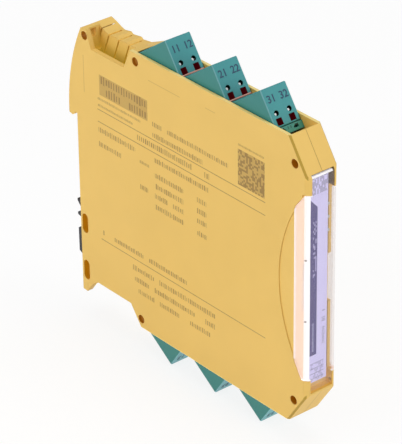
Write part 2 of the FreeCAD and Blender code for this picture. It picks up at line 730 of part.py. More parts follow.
def plug(label, number, upper):
    body = new_body(label)
    wide = S["plug_half"]
    tall = S["plug_height"]
    slab(body, label + "_block", rectangle(0.0, S["plug_length"], -tall, 0.0), -wide, wide)

    def on_face_or_side(edge):
        box = edge.BoundBox
        if box.YLength > 1.0:
            return True
        return box.YMax < 0.01

    soften(body, label + "_round", S["plug_round"], on_face_or_side)
    for side in (-1, 1):
        word = "_left" if side < 0 else "_right"
        low, high = across_band(S["entry_across"] - S["entry"] / 2,
                                S["entry_across"] + S["entry"] / 2, side)
        hole = rectangle(-1.0, S["chamber_start"] + 0.1,
                         -S["entry_low"], -S["entry_low"] + S["entry"])
        notch(body, label + word + "_entry", hole, low, high)
        low, high = across_band(S["chamber_near"], S["chamber_far"], side)
        hole = rectangle(S["chamber_start"], S["plug_length"] + 1.0,
                         -S["entry_low"], -S["chamber_top"])
        notch(body, label + word + "_chamber", hole, low, high)
        sketch = sketch_on(body, label + word + "_release_outline", "XZ_Plane", 0.5)
        draw_circle(sketch, S["entry_across"] * side, -S["release_down"], S["release_radius"])
        pocket(body, label + word + "_release", sketch, S["chamber_start"] + 0.6, False)
    place_on_rank(body, number, upper)
    return body


def clamp(label, number, upper, side):
    """Cage clamp: a square tube of sheet metal with a spring tongue inside."""
    body = new_body(label)
    gap = S["clamp_gap"]
    low, high = across_band(S["chamber_near"] + gap, S["chamber_far"] - gap, side)
    start = S["chamber_start"] + gap
    end = start + S["clamp_length"]
    floor = -S["entry_low"] + gap
    roof = -S["chamber_top"] - gap
    slab(body, label + "_tube", rectangle(start, end, floor, roof), low, high)
    sheet_in = S["clamp_sheet"]
    sketch = sketch_on(body, label + "_bore_outline", "XZ_Plane", -start + 0.5)
    draw_loop(sketch, rectangle(low + sheet_in, high - sheet_in,
                                floor + sheet_in, roof - sheet_in), {})
    pocket(body, label + "_bore", sketch, S["clamp_length"] + 1.0, False)
    tongue = [
        (start + 0.2, roof - sheet_in + 0.1),
        (start + 0.8, roof - sheet_in + 0.1),
        (end - 1.4, -S["pin_down"] + S["pin"] / 2 + 0.35),
        (end - 1.8, -S["pin_down"] + S["pin"] / 2 + 0.15),
    ]
    slab(body, label + "_tongue", tongue, low + 0.7, high - 0.7)
    place_on_rank(body, number, upper)
    return body


def header(label, number, upper):
    body = new_body(label)
    wide = inner - 0.05
    face = S["plug_length"] + S["header_gap"]
    back = face + S["header_base"]
    shelf_top = -S["plug_height"] - S["header_gap"] + 0.1
    shelf_low = shelf_top - S["header_shelf"]
    outline = [
        (0.0, shelf_low),
        (back, shelf_low),
        (back, -S["header_top"]),
        (face, -S["header_top"]),
        (face, shelf_top),
        (0.0, shelf_top),
    ]
    slab(body, label + "_block", outline, -wide, wide)
    play = S["pin"] / 2 + S["pin_play"]
    for side in (-1, 1):
        word = "_left" if side < 0 else "_right"
        low, high = across_band(S["pin_across"] - play, S["pin_across"] + play, side)
        hole = rectangle(face - 0.5, back + 0.5, -S["pin_down"] - play, -S["pin_down"] + play)
        notch(body, label + word + "_pin_hole", hole, low, high)
        sketch = sketch_on(body, label + word + "_oval_outline", "XZ_Plane", 0.5)
        mid = (shelf_top + shelf_low) / 2
        wide_low = S["entry_across"] * side - 0.6
        wide_high = S["entry_across"] * side + 0.6
        loop = [(wide_low, mid - 0.35), (wide_high, mid - 0.35),
                (wide_high, mid + 0.35), (wide_low, mid + 0.35)]
        draw_loop(sketch, loop, {1: (0.35, 1), 3: (0.35, 1)})
        pocket(body, label + word + "_oval", sketch, 2.0, False)
    place_on_rank(body, number, upper)
    return body


def pins(label, number, upper, side):
    """A contact pin: out of the header's base, then along the board."""
    body = new_body(label)
    thick = S["pin"]
    low, high = across_band(S["pin_across"] - thick / 2, S["pin_across"] + thick / 2, side)
    back = S["plug_length"] + S["header_gap"] + S["header_base"] + 1.2
    level = -S["pin_down"]
    drop_y = S["pin_tail"] * lean_sin
    drop_z = S["pin_tail"] * lean_cos
    edge_y = thick * lean_cos
    edge_z = thick * lean_sin
    outline = [
        (S["pin_start"], level - thick / 2),
        (back - edge_y, level - thick / 2),
        (back - edge_y + drop_y, level - thick / 2 - drop_z),
        (back + drop_y, level - thick / 2 - drop_z + edge_z),
        (back + edge_y * 0.3, level + thick / 2),
        (S["pin_start"] + 0.4, level + thick / 2),
        (S["pin_start"], level + thick / 4),
    ]
    slab(body, label + "_pin", outline, low, high)
    place_on_rank(body, number, upper)
    return body


for upper in (True, False):
    word = "top" if upper else "bottom"
    for number in range(3):
        tag = "%s_%d" % (word, number + 1)
        plug("plug_" + tag, number, upper)
        clamp("clamp_left_" + tag, number, upper, -1)
        clamp("clamp_right_" + tag, number, upper, 1)
        header("header_" + tag, number, upper)
        pins("pin_left_" + tag, number, upper, -1)
        pins("pin_right_" + tag, number, upper, 1)
doc.recompute()

# ---------------------------------------------------------------- hinged cover
cover = new_body("clear_cover")
gap = S["wing_gap"]
cover_top = middle + S["wing_half"] - gap
cover_low = middle - S["wing_half"] + gap
chamfer = S["front_chamfer"]
thin = S["wing_sheet"]
plate = S["cover_sheet"]
sketch = sketch_on(cover, "cover_shell_outline", "XY_Plane", cover_low)
bevel = 0.41421
wrap = [
    (half_width, -S["wing_start"] - gap),
    (half_width, front + chamfer),
    (half_width - chamfer, front),
    (-half_width + chamfer, front),
    (-half_width, front + chamfer),
    (-half_width, -S["wing_start"] - gap),
    (-half_width + thin, -S["wing_start"] - gap),
    (-half_width + thin, front + chamfer + thin * bevel),
    (-half_width + chamfer + plate * bevel, front + plate),
    (half_width - chamfer - plate * bevel, front + plate),
    (half_width - thin, front + chamfer + thin * bevel),
    (half_width - thin, -S["wing_start"] - gap),
]
draw_loop(sketch, wrap, {})
pad(cover, "cover_shell", sketch, cover_top - cover_low)
corner_top = [
    (-S["wing_start"] + 1.0, middle + S["wing_corner_high"] - gap),
    (-S["wing_start"] - gap, middle + S["wing_corner_high"] - gap),
    (-S["wing_corner_back"] - gap, middle + S["wing_corner_mid"] - gap),
    (-S["wing_corner_front"], cover_top),
    (-S["wing_corner_front"], cover_top + 1.0),
    (-S["wing_start"] + 1.0, cover_top + 1.0),
]
notch(cover, "cover_corner_top", corner_top, -half_width - 1.0, half_width + 1.0)
corner_low = [
    (-S["wing_start"] + 1.0, middle - S["wing_corner_high"] + gap),
    (-S["wing_start"] - gap, middle - S["wing_corner_high"] + gap),
    (-S["wing_corner_back"] - gap, middle - S["wing_corner_mid"] + gap),
    (-S["wing_corner_front"] + 1.2 - gap, cover_low),
    (-S["wing_corner_front"] + 1.2 - gap, cover_low - 1.0),
    (-S["wing_start"] + 1.0, cover_low - 1.0),
]
notch(cover, "cover_corner_low", corner_low, -half_width - 1.0, half_width + 1.0)
tongue_top = middle + S["front_half"] - S["tongue_drop"]
tongue = [
    (front, cover_top - 0.5),
    (front + plate, cover_top - 0.5),
    (front + plate, tongue_top),
    (front + plate + 0.8, tongue_top + 1.18),
    (front + 0.8, tongue_top + 1.18),
    (front, tongue_top),
]
slab(cover, "cover_tongue", tongue, -S["tongue_half"], S["tongue_half"])
hinge_y = -S["hinge_depth"]
hinge_z = -S["hinge_low"]
barrel = [
    (front, cover_low + 0.5),
    (front, hinge_z),
    (hinge_y + S["hub_radius"], hinge_z),
    (front + plate, hinge_z + S["hub_radius"]),
    (front + plate, cover_low + 0.5),
]
slab(cover, "cover_leaf", barrel, -S["tongue_half"], S["tongue_half"])
sketch = sketch_on(cover, "cover_barrel_outline", "YZ_Plane", -S["tongue_half"])
draw_circle(sketch, hinge_y, hinge_z, S["hub_radius"])
pad(cover, "cover_barrel", sketch, S["tongue_half"] * 2)
pin_reach = S["tongue_half"] + S["trunnion_length"]
sketch = sketch_on(cover, "cover_trunnion_outline", "YZ_Plane", -pin_reach)
draw_circle(sketch, hinge_y, hinge_z, S["trunnion_radius"])
pad(cover, "cover_trunnion", sketch, pin_reach * 2)
doc.recompute()

# ---------------------------------------------------------------- rail foot and its spring
foot = new_body("rail_foot")
neck_front = -S["channel_rib"] - S["foot_gap"]
bar_front = 0.3
foot_end = -S["foot_catch"] - 1.7
foot_profile = [
    (bar_front, -S["foot_low"]),
    (S["foot_sheet"], -S["foot_low"]),
    (S["foot_sheet"], -S["bar_low"] - 0.9),
    (S["foot_back"] - 0.2, -S["bar_low"]),
    (S["foot_back"] - 0.1, -S["bar_high"]),
    (S["foot_sheet"] + 0.2, -S["bar_high"] + 0.6),
    (S["foot_sheet"] + 0.2, -S["nub_low"] - 0.5),
    (S["foot_back"], -S["nub_low"]),
    (S["foot_back"], -S["nub_high"]),
    (S["foot_sheet"] + 0.2, -S["nub_high"] + 0.5),
    (S["foot_sheet"] + 0.2, -S["foot_catch"] - 2.7),
    (S["foot_back"], -S["foot_catch"] - 0.5),
    (S["foot_back"], -S["foot_catch"] + 0.2),
    (S["hook_gap"] + 0.2, -S["foot_catch"]),
    (S["hook_gap"] + 0.2, foot_end),
    (bar_front, foot_end),
]
slab(foot, "foot_bar", foot_profile, -S["foot_half"], S["foot_half"])
neck_half = S["channel_half"] - S["foot_side_gap"]
slab(foot, "foot_neck",
     rectangle(neck_front - 0.1, bar_front + 0.1, -S["foot_low"], foot_end), -neck_half, neck_half)
tongue_deep = -S["channel_deep"] + S["foot_gap"]
tongue_side = S["channel_wide"] - S["foot_side_gap"]
slab(foot, "foot_tongue",
     rectangle(tongue_deep, neck_front, -S["foot_low"] + 1.3, foot_end), -tongue_side, tongue_side)
window_low = -S["peg_top"] - S["peg_height"] - 0.4
notch(foot, "foot_window",
      rectangle(tongue_deep - 1.0, neck_front, window_low, -S["spring_top"] + 0.35),
      -S["window_half"], S["window_half"])
notch(foot, "foot_release_slot",
      rectangle(tongue_deep - 1.0, 3.0, -S["foot_low"] - 0.1, -S["foot_low"] + S["release_slot"]),
      -1.6, 1.6)
doc.recompute()


def spring_solid():
    """Round wire wound as a helix about the foot's lane."""
    length = sheet.peg_top - sheet.spring_top - 0.2
    wire = sheet.spring_wire
    helix = Part.makeHelix((length - wire) / sheet.spring_turns, length - wire, sheet.spring_radius)
    section = Part.Wire([Part.makeCircle(wire / 2, V(sheet.spring_radius, 0, 0), V(0, 1, 0))])
    return Part.Wire(helix.Edges).makePipeShell([section], True, True)


foot_spring = doc.addObject("Part::Feature", "foot_spring")
foot_spring.Label = "foot_spring"
foot_spring.Shape = spring_solid()
spring_back = -(sheet.channel_deep + sheet.channel_rib) / 2 - 0.05
spring_foot = -sheet.peg_top + 0.1 + sheet.spring_wire / 2
foot_spring.Placement = FreeCAD.Placement(V(0, spring_back, spring_foot), FreeCAD.Rotation())

# ---------------------------------------------------------------- circuit board and its parts
board = new_body("main_board")
board_top = middle + S["board_half"]
board_low = middle - S["board_half"]
rear_half = S["slat_low"] - S["board_drop"]
step = -S["hole_rear_back"]
ramp_down = header_down + 0.1 + S["bay_gap"]
ramp_out = (S["half_height"] - S["ramp_depth"] - S["crest_half"] + ramp_down * lean_cos) / lean_sin
notch_from = on_plug(2, ramp_down, ramp_out)[0] - S["board_clear"]
board_outline = [
    (-S["board_rear"], middle - rear_half),
    (-S["board_rear"], middle + rear_half),
    (step, middle + rear_half),
    (step - 1.0, board_top),
    (notch_from, board_top),
    (notch_from, board_top - S["notch_drop"]),
    (-S["board_front"], board_top - S["notch_drop"]),
    (-S["board_front"], board_low + S["notch_drop"]),
    (notch_from, board_low + S["notch_drop"]),
    (notch_from, board_low),
    (step - 1.0, board_low),
    (step, middle - rear_half),
]
face = S["board_face"]
slab(board, "board_sheet", board_outline, face, face + S["board_sheet"])


def relay(label, sign):
    body = new_body(label)
    rear = -S["relay_one_rear"]
    end = rear - S["relay_length"]
    mid = middle + S["relay_rise"] * sign
    low = mid - S["relay_height"] / 2
    high = mid + S["relay_height"] / 2
    slab(body, label + "_case", rectangle(end, rear, low, high),
         face - 0.2 - S["relay_thick"], face - 0.2)
    slab(body, label + "_foot_rear", rectangle(rear - 1.6, rear - 0.6, low + 1.0, high - 1.0),
         face - 0.3, face)
    slab(body, label + "_foot_front", rectangle(end + 0.6, end + 1.6, low + 1.0, high - 1.0),
         face - 0.3, face)
    return body


relay("relay_upper", 1)
relay("relay_lower", -1)

coil = new_body("transformer")
coil_rear = -S["coil_rear"]
coil_front = coil_rear - S["coil_length"]
coil_low = middle + S["coil_rise"]
coil_high = coil_low + S["coil_height"]
slab(coil, "transformer_core", rectangle(coil_front, coil_rear, coil_low, coil_high),
     face - S["coil_thick"], face)
winding = S["winding_out"]
inset = S["winding_inset"]
slab(coil, "transformer_winding",
     rectangle(coil_front - winding, coil_rear + winding, coil_low + inset, coil_high - inset),
     face - S["coil_thick"] + 0.6, face - 0.5)

can = new_body("capacitor")
sketch = sketch_on(can, "capacitor_can_outline", "XY_Plane", middle - 24.0)
draw_circle(sketch, face - S["can_radius"] - 0.1, -S["coil_rear"] - 6.0, S["can_radius"])
pad(can, "capacitor_can", sketch, S["can_length"])


def chip(label, back, up):
    body = new_body(label)
    half = S["chip_size"] / 2
    mid_y = -as_size(back)
    mid_z = middle + up
    slab(body, label + "_case", rectangle(mid_y - half, mid_y + half, mid_z - half, mid_z + half),
         face - 0.1 - S["chip_thick"], face - 0.1)
    for row in range(4):
        level = mid_z - 2.6 + row * 1.7
        slab(body, label + "_leads_%d" % row,
             rectangle(mid_y - half - 0.8, mid_y + half + 0.8, level - 0.2, level + 0.2),
             face - 0.7, face)
    return body


chip("controller_chip_1", 42.0, 12.0)
chip("controller_chip_2", 42.0, -8.0)

# ---------------------------------------------------------------- front carrier, label, light guides
carrier = new_body("front_carrier")
carrier_top = middle + S["carrier_half"] - 0.3
carrier_low = middle - S["carrier_half"] + 0.3
left = -S["carrier_left"]
right = S["carrier_right"]
slab(carrier, "carrier_block",
     rectangle(-S["carrier_front"], -S["carrier_rear"], carrier_low, carrier_top), left, right)
slab(carrier, "carrier_plate",
     rectangle(-S["carrier_front"], -S["carrier_front"] + S["carrier_plate"],
               -S["carrier_low"], S["carrier_top"]), left, right)
wall = S["carrier_wall"]
notch(carrier, "carrier_hollow",
      rectangle(-S["carrier_front"] + wall, -S["carrier_rear"] + 1.0,
                carrier_low + wall, carrier_top - wall),
      left + wall, right - wall)

label_strip = new_body("label_strip")
slab(label_strip, "label_sheet",
     rectangle(-S["carrier_front"] - S["label_sheet"], -S["carrier_front"],
               -S["carrier_low"] + 0.2, S["carrier_top"] - 0.2), left, right)

for number in range(3):
    tag = "light_guide_%d" % (number + 1)
    guide = new_body(tag)
    sketch = sketch_on(guide, tag + "_outline", "XZ_Plane", S["cavity_front"] - 2.6)
    up = S["guide_first"] - S["guide_pitch"] * number
    draw_circle(sketch, S["guide_across"], up, S["guide_radius"])
    pad(guide, tag + "_rod", sketch, S["carrier_front"] - S["cavity_front"] + 2.2)
doc.recompute()

# ---------------------------------------------------------------- checks and files
faults = []
for item in doc.Objects:
    for word in item.State:
        if word in ("Invalid", "Error"):
            faults.append("%s is %s" % (item.Name, word))
for feature in cuts:
    if feature.Shape.isNull() or feature.BaseFeature.Shape.isNull():
        faults.append("%s is empty" % feature.Name)
    elif not feature.Shape.Volume < feature.BaseFeature.Shape.Volume - 1e-6:
        faults.append("%s cut nothing" % feature.Name)
made = [item for item in doc.Objects
        if item.TypeId == "PartDesign::Body" or item is foot_spring]
for item in made:
    shape = item.Shape
    if shape.isNull() or not shape.isValid():
        faults.append("%s has no valid shape" % item.Label)
    elif len(shape.Solids) != 1:
        faults.append("%s has %d solids" % (item.Label, len(shape.Solids)))
if faults:
    raise RuntimeError("; ".join(faults))
for item in made:
    item.Shape.exportStep("parts/%s.step" % item.Label)
print("wrote", len(made), "parts")
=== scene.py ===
import math

import bpy
import numpy as np
from mathutils import Matrix, Vector


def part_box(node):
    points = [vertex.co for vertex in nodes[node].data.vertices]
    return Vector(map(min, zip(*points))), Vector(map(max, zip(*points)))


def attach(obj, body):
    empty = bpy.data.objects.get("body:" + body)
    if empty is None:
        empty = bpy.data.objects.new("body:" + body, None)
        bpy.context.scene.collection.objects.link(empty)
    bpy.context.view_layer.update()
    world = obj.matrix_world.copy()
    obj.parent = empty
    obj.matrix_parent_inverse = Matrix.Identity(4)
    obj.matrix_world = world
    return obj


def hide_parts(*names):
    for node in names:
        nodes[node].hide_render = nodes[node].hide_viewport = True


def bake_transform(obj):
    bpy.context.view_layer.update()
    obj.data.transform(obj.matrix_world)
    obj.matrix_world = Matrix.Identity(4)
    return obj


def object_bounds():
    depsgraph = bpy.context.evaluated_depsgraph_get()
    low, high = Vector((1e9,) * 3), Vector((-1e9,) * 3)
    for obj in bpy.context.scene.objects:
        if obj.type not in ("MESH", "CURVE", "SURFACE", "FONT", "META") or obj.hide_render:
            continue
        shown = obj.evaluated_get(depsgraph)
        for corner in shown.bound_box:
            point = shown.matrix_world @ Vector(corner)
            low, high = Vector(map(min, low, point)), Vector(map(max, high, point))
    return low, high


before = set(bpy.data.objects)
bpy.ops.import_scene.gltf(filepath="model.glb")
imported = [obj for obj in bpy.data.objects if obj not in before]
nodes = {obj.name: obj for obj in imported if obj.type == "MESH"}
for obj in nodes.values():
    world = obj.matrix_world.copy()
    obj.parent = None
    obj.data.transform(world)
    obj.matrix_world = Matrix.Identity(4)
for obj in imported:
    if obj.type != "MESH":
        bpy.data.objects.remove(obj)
cad_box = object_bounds()
MM = 0.001

# ------------------------------------------------------------------ sizes read off the frame
shell_low, shell_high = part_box("left_shell")
cover_low, cover_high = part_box("clear_cover")
MIDDLE = (shell_low[2] + shell_high[2]) / 2
HALF_WIDTH = -shell_low[0]
LEAN = math.radians(34.8)
FRONT = -shell_low[1] / MM
# the upper slanted face at the front: its direction and a point on it
SLANT_NORMAL = Vector((0.0, -11.85, 8.0)).normalized()
SLANT_POINT = Vector((0.0, shell_low[1], MIDDLE + 0.03775))
PLUG_ROUND = 0.25 * MM
PLUG_HEIGHT = 12.3 * MM
# centre of the rear round holes: back from the seat, and off the housing's middle
REAR_HOLE = (-30.5, 46.55)
RANKS = [(word, number) for word in ("top", "bottom") for number in (1, 2, 3)]


# ------------------------------------------------------------------ material kit
EASED_EDGE = 0.25 * MM
GRAIN_SCALE = 9000.0
GRAIN_STRENGTH = 0.12
GRAIN_DEPTH = 0.04 * MM
GLOSS_SWING = 0.12


class Nodes:
    """Small helper that adds nodes to one material and wires them."""

    def __init__(self, name):
        self.material = bpy.data.materials.new(name)
        self.material.use_nodes = True
        self.tree = self.material.node_tree
        self.shader = self.tree.nodes["Principled BSDF"]
        self.place = self.add("ShaderNodeTexCoord").outputs["Object"]

    def add(self, kind, **settings):
        node = self.tree.nodes.new(kind)
        for key, value in settings.items():
            setattr(node, key, value)
        return node

    def link(self, source, target):
        self.tree.links.new(source, target)

    def feed(self, socket, value):
        if hasattr(value, "is_output"):
            self.link(value, socket)
        else:
            socket.default_value = value

    def math(self, operation, a, b=0.0, c=0.0):
        node = self.add("ShaderNodeMath", operation=operation)
        for socket, value in zip(node.inputs, (a, b, c)):
            self.feed(socket, value)
        return node.outputs[0]

    def noise(self, scale, detail=2.0, stretch=(1, 1, 1)):
        mapping = self.add("ShaderNodeMapping")
        mapping.inputs["Scale"].default_value = stretch
        self.link(self.place, mapping.inputs["Vector"])
        node = self.add("ShaderNodeTexNoise")
        node.inputs["Scale"].default_value = scale
        node.inputs["Detail"].default_value = detail
        self.link(mapping.outputs[0], node.inputs["Vector"])
        return node.outputs["Fac"]

    def ramp(self, source, low, high):
        node = self.add("ShaderNodeMapRange")
        self.link(source, node.inputs["Value"])
        node.inputs["From Min"].default_value = low
        node.inputs["From Max"].default_value = high
        return node.outputs["Result"]

    def blend(self, factor, first, second):
        node = self.add("ShaderNodeMix", data_type="RGBA")
        self.feed(node.inputs["Factor"], factor)
        self.feed(node.inputs["A"], first)
        self.feed(node.inputs["B"], second)
        return node.outputs["Result"]

    def split(self):
        """The object coordinates in millimetres: across, back and up."""
        node = self.add("ShaderNodeSeparateXYZ")
        self.link(self.place, node.inputs[0])
        return [self.math("MULTIPLY", node.outputs[i], 1.0 / MM) for i in range(3)]

    def within(self, value, low, high):
        """1 where low < value < high."""
        half = (high - low) / 2
        centre = (high + low) / 2
        offset = self.math("ABSOLUTE", self.math("SUBTRACT", value, centre))
        return self.math("LESS_THAN", offset, half)

    def rectangle(self, first, second, first_range, second_range):
        return self.math("MULTIPLY", self.within(first, *first_range),
                         self.within(second, *second_range))

    def either(self, masks):
        total = masks[0]
        for mask in masks[1:]:
            total = self.math("MAXIMUM", total, mask)
        return total

    def paint(self, factor, colour):
        """Lay a colour over the base colour where the factor is 1."""
        base = self.shader.inputs["Base Color"]
        below = base.links[0].from_socket
        self.link(self.blend(factor, below, colour), base)

    def glow(self, factor, colour, strength):
        """Painted light: emission that stands in for light coming through the plastic where the
        factor is 1.
        """
        target = self.shader.inputs["Emission Color"]
        below = target.links[0].from_socket if target.is_linked else (0.0, 0.0, 0.0, 1.0)
        self.link(self.blend(self.math("MULTIPLY", factor, strength), below, colour), target)
        self.shader.inputs["Emission Strength"].default_value = 1.0

    def along_axis(self, axis, start):
        """Distance along an axis from a start point, in millimetres."""
        node = self.add("ShaderNodeVectorMath", operation="DOT_PRODUCT")
        self.link(self.place, node.inputs[0])
        node.inputs[1].default_value = axis
        reach = self.math("SUBTRACT", node.outputs["Value"], axis.dot(start))
        return self.math("MULTIPLY", reach, 1.0 / MM)

    def disc(self, first, second, centre, radius):
        """1 inside the circle."""
        a = self.math("SUBTRACT", first, centre[0])
        b = self.math("SUBTRACT", second, centre[1])
        squares = self.math("ADD", self.math("MULTIPLY", a, a), self.math("MULTIPLY", b, b))
        return self.math("LESS_THAN", squares, radius * radius)

    def both(self, masks):
        total = masks[0]
        for mask in masks[1:]:
            total = self.math("MULTIPLY", total, mask)
        return total

    def chance(self, first, second):
        """A random number for each whole-number pair of coordinates."""
        node = self.add("ShaderNodeTexWhiteNoise", noise_dimensions="2D")
        join = self.add("ShaderNodeCombineXYZ")
        self.feed(join.inputs[0], self.math("FLOOR", first))
        self.feed(join.inputs[1], self.math("FLOOR", second))
        self.link(join.outputs[0], node.inputs["Vector"])
        return node.outputs["Value"]

    def rounded(self, radius):
        """The normal of the surface with its edges eased by that radius."""
        node = self.add("ShaderNodeBevel", samples=4)
        node.inputs["Radius"].default_value = radius
        return node.outputs[0]

    def bump(self, height, strength, distance):
        """Small relief on faces whose edges are eased."""
        node = self.add("ShaderNodeBump")
        self.link(self.rounded(EASED_EDGE), node.inputs["Normal"])
        node.inputs["Strength"].default_value = strength
        node.inputs["Distance"].default_value = distance
        self.link(height, node.inputs["Height"])
        self.link(node.outputs[0], self.shader.inputs["Normal"])


def linear(red, green, blue, alpha=1.0):
    """Linear colour of an 8-bit sRGB colour."""
    values = []
    for part in (red, green, blue):
        part = part / 255.0
        values.append(part / 12.92 if part <= 0.04045 else ((part + 0.055) / 1.055) ** 2.4)
    return (*values, alpha)


def moulded(name, colour, roughness, drift=0.06):
    """Injection-moulded plastic: fine spark-eroded grain and a slow drift of tone."""
    kit = Nodes(name)
    tone = kit.ramp(kit.noise(60.0, 3.0), 0.3, 0.7)
    darker = tuple(part * (1 - drift) for part in colour[:3]) + (1.0,)
    lighter = tuple(min(part * (1 + drift), 1.0) for part in colour[:3]) + (1.0,)
    kit.link(kit.blend(tone, darker, lighter), kit.shader.inputs["Base Color"])
    fine = kit.noise(GRAIN_SCALE, 3.0)
    uneven = kit.math("MULTIPLY_ADD", fine, GLOSS_SWING, roughness - GLOSS_SWING / 2)
    kit.link(uneven, kit.shader.inputs["Roughness"])
    kit.bump(fine, GRAIN_STRENGTH, GRAIN_DEPTH)
    return kit


YELLOW = linear(241, 199, 104)
yellow = moulded("housing_yellow", YELLOW, 0.55, drift=0.02)


def glyphs(kit, along, rise, size, seed):
    """Stand-in print: plain upright strokes of uneven width and height, in groups."""
    cell = kit.math("DIVIDE", along, kit.math("MULTIPLY", size, 0.4))

    def picked(first, number):
        return kit.chance(first, kit.math("ADD", seed, number))

    width = kit.math("MULTIPLY_ADD", picked(cell, 0.0), 0.3, 0.35)
    reach = kit.math("MULTIPLY_ADD", picked(cell, 50.0), 0.2, 0.3)
    group = picked(kit.math("DIVIDE", cell, 3.0), 200.0)
    return kit.both([kit.math("LESS_THAN", kit.math("FRACT", cell), width),
                     kit.math("LESS_THAN", kit.math("ABSOLUTE", rise), reach),
                     kit.math("GREATER_THAN", group, 0.1)])


def printed_row(kit, along, height, start, end, level, size, seed):
    """One row of stand-in print."""
    rise = kit.math("DIVIDE", kit.math("SUBTRACT", height, level), size)
    return kit.both([glyphs(kit, along, rise, size, seed), kit.within(along, start, end)])


# a row's start, end, level and size travel through a colour ramp as shares of these
ROWS_HALF = 50.0
ROWS_SPAN = 2 * ROWS_HALF
SIZE_SPAN = 10.0
NO_ROW = (0.0, 0.0, 0.0, 0.5)


def printed_rows(kit, along, height, rows):
    """Rows of stand-in print at different heights, looked up by height in one stepped ramp."""
    ramp = kit.add("ShaderNodeValToRGB")
    ramp.color_ramp.interpolation = "CONSTANT"
    kit.link(kit.ramp(height, -ROWS_HALF, ROWS_HALF), ramp.inputs[0])
    stops = ramp.color_ramp.elements
    stops.remove(stops[1])
    stops[0].position = 0.0
    stops[0].color = NO_ROW
    for start, end, level, size in sorted(rows, key=lambda row: row[2]):
        low = stops.new((level - size / 2 + ROWS_HALF) / ROWS_SPAN)
        low.color = (start / ROWS_SPAN, end / ROWS_SPAN, (level + ROWS_HALF) / ROWS_SPAN,
                     size / SIZE_SPAN)
        high = stops.new((level + size / 2 + ROWS_HALF) / ROWS_SPAN)
        high.color = NO_ROW
    split = kit.add("ShaderNodeSeparateColor")
    kit.link(ramp.outputs["Color"], split.inputs[0])
    start, end = [kit.math("MULTIPLY", split.outputs[i], ROWS_SPAN) for i in range(2)]
    level = kit.math("MULTIPLY_ADD", split.outputs[2], ROWS_SPAN, -ROWS_HALF)
    size = kit.math("MULTIPLY", ramp.outputs["Alpha"], SIZE_SPAN)
    rise = kit.math("DIVIDE", kit.math("SUBTRACT", height, level), size)
    return kit.both([glyphs(kit, along, rise, size, level),
                     kit.math("GREATER_THAN", along, start), kit.math("LESS_THAN", along, end)])


# rows of stand-in print on the left wall, in columns: start and end from the seat, height, size
PRINT_COLUMNS = [
    [(12.0, 36.0, 34.4, 3.2), (12.0, 36.0, 30.6, 3.2), (11.0, 32.5, 27.3, 1.2),
     (11.0, 28.5, 24.9, 1.2), (30.5, 65.5, 21.2, 2.4), (11.0, 29.5, 16.2, 2.1),
     (31.5, 36.5, 13.0, 1.2), (11.0, 22.5, 11.0, 2.1), (31.5, 35.5, 4.0, 1.8),
     (11.5, 54.0, -21.6, 2.1), (26.5, 68.0, -27.6, 2.1), (27.5, 67.5, -31.6, 2.1),
     (29.5, 65.5, -35.6, 2.1)],
    [(38.0, 74.5, 28.8, 2.0), (38.0, 62.5, 25.1, 2.0), (39.0, 65.0, 16.4, 2.1),
     (39.0, 53.0, 11.0, 2.1), (39.0, 53.0, 7.2, 2.1), (39.0, 53.0, 3.6, 2.1),
     (39.0, 53.0, -0.2, 2.1)],
    [(59.5, 64.0, 11.0, 2.1), (59.5, 64.0, 7.2, 2.1), (59.5, 64.0, 3.6, 2.1),
     (59.5, 64.0, -0.8, 2.1), (79.3, 91.0, 38.3, 0.9)],
]
PRINT_RULES = (23.4, 19.0, -24.2)
RULE_HALF = 0.14
DOT = 0.68
printed = moulded("housing_yellow_printed", YELLOW, 0.55, drift=0.02)
across, behind, height = printed.split()
along = printed.math("MULTIPLY", behind, -1.0)
marks = [printed_rows(printed, along, height, rows) for rows in PRINT_COLUMNS]
marks += [printed.rectangle(along, height, (10.7, 91.6),
                            (level - RULE_HALF, level + RULE_HALF))
          for level in PRINT_RULES]
dots = printed.math("GREATER_THAN", printed.chance(printed.math("DIVIDE", along, DOT),
                                                   printed.math("DIVIDE", height, DOT)), 0.5)
dot_field = printed.rectangle(along, height, (79.1, 91.3), (24.6, 36.8))
marks.append(printed.math("MULTIPLY", dots, dot_field))
wall = printed.math("LESS_THAN", across, -HALF_WIDTH / MM + 0.05)
INK = linear(142, 108, 52)
first_field = printed.rectangle(along, height, (12.0, 36.0), (28.9, 36.1))
printed.paint(printed.both([printed.either([first_field, dot_field]), wall, 0.45]), INK)
printed.paint(printed.both([printed.either(marks), wall, 0.75]), INK)
lines = printed.either([
    printed.rectangle(along, height, (3.9, 4.3), (26.8, 40.0)),
    printed.rectangle(along, height, (36.8, 52.0), (43.3, 43.6)),
    printed.rectangle(along, height, (64.0, 68.7), (44.4, 44.7)),
])
printed.paint(printed.both([lines, wall, 0.45]), linear(190, 150, 74))


# places on the shells, in millimetres: back (negative towards the front) and height
FRONT_HOLE = (-FRONT + 5.7, 41.2)
BLOCK_HOLE = (-4.98, 47.06)
HOLE_PAINT = 1.56
ENDS_FROM = 37.4
POCKET_HEIGHTS = ((-25.7, -18.4), (-43.4, -35.9))
POCKET_BACK = (-3.8, -0.7)
VENT_BACK = (-29.4, -3.3)
VENT_INWARD = (1.6, 11.5)
SLIT_LEAN = -4.2 / 10.9
SLIT_PITCH = 5.05
SLIT_SHARE = 0.125
SLIT_FIRST = (-4.86, 48.25)
SLOT_HALF = 4.42
SLOT_BACK = (-FRONT + 0.12, -FRONT + 8.0)
WALL_EDGE = (-0.1, 1.2)


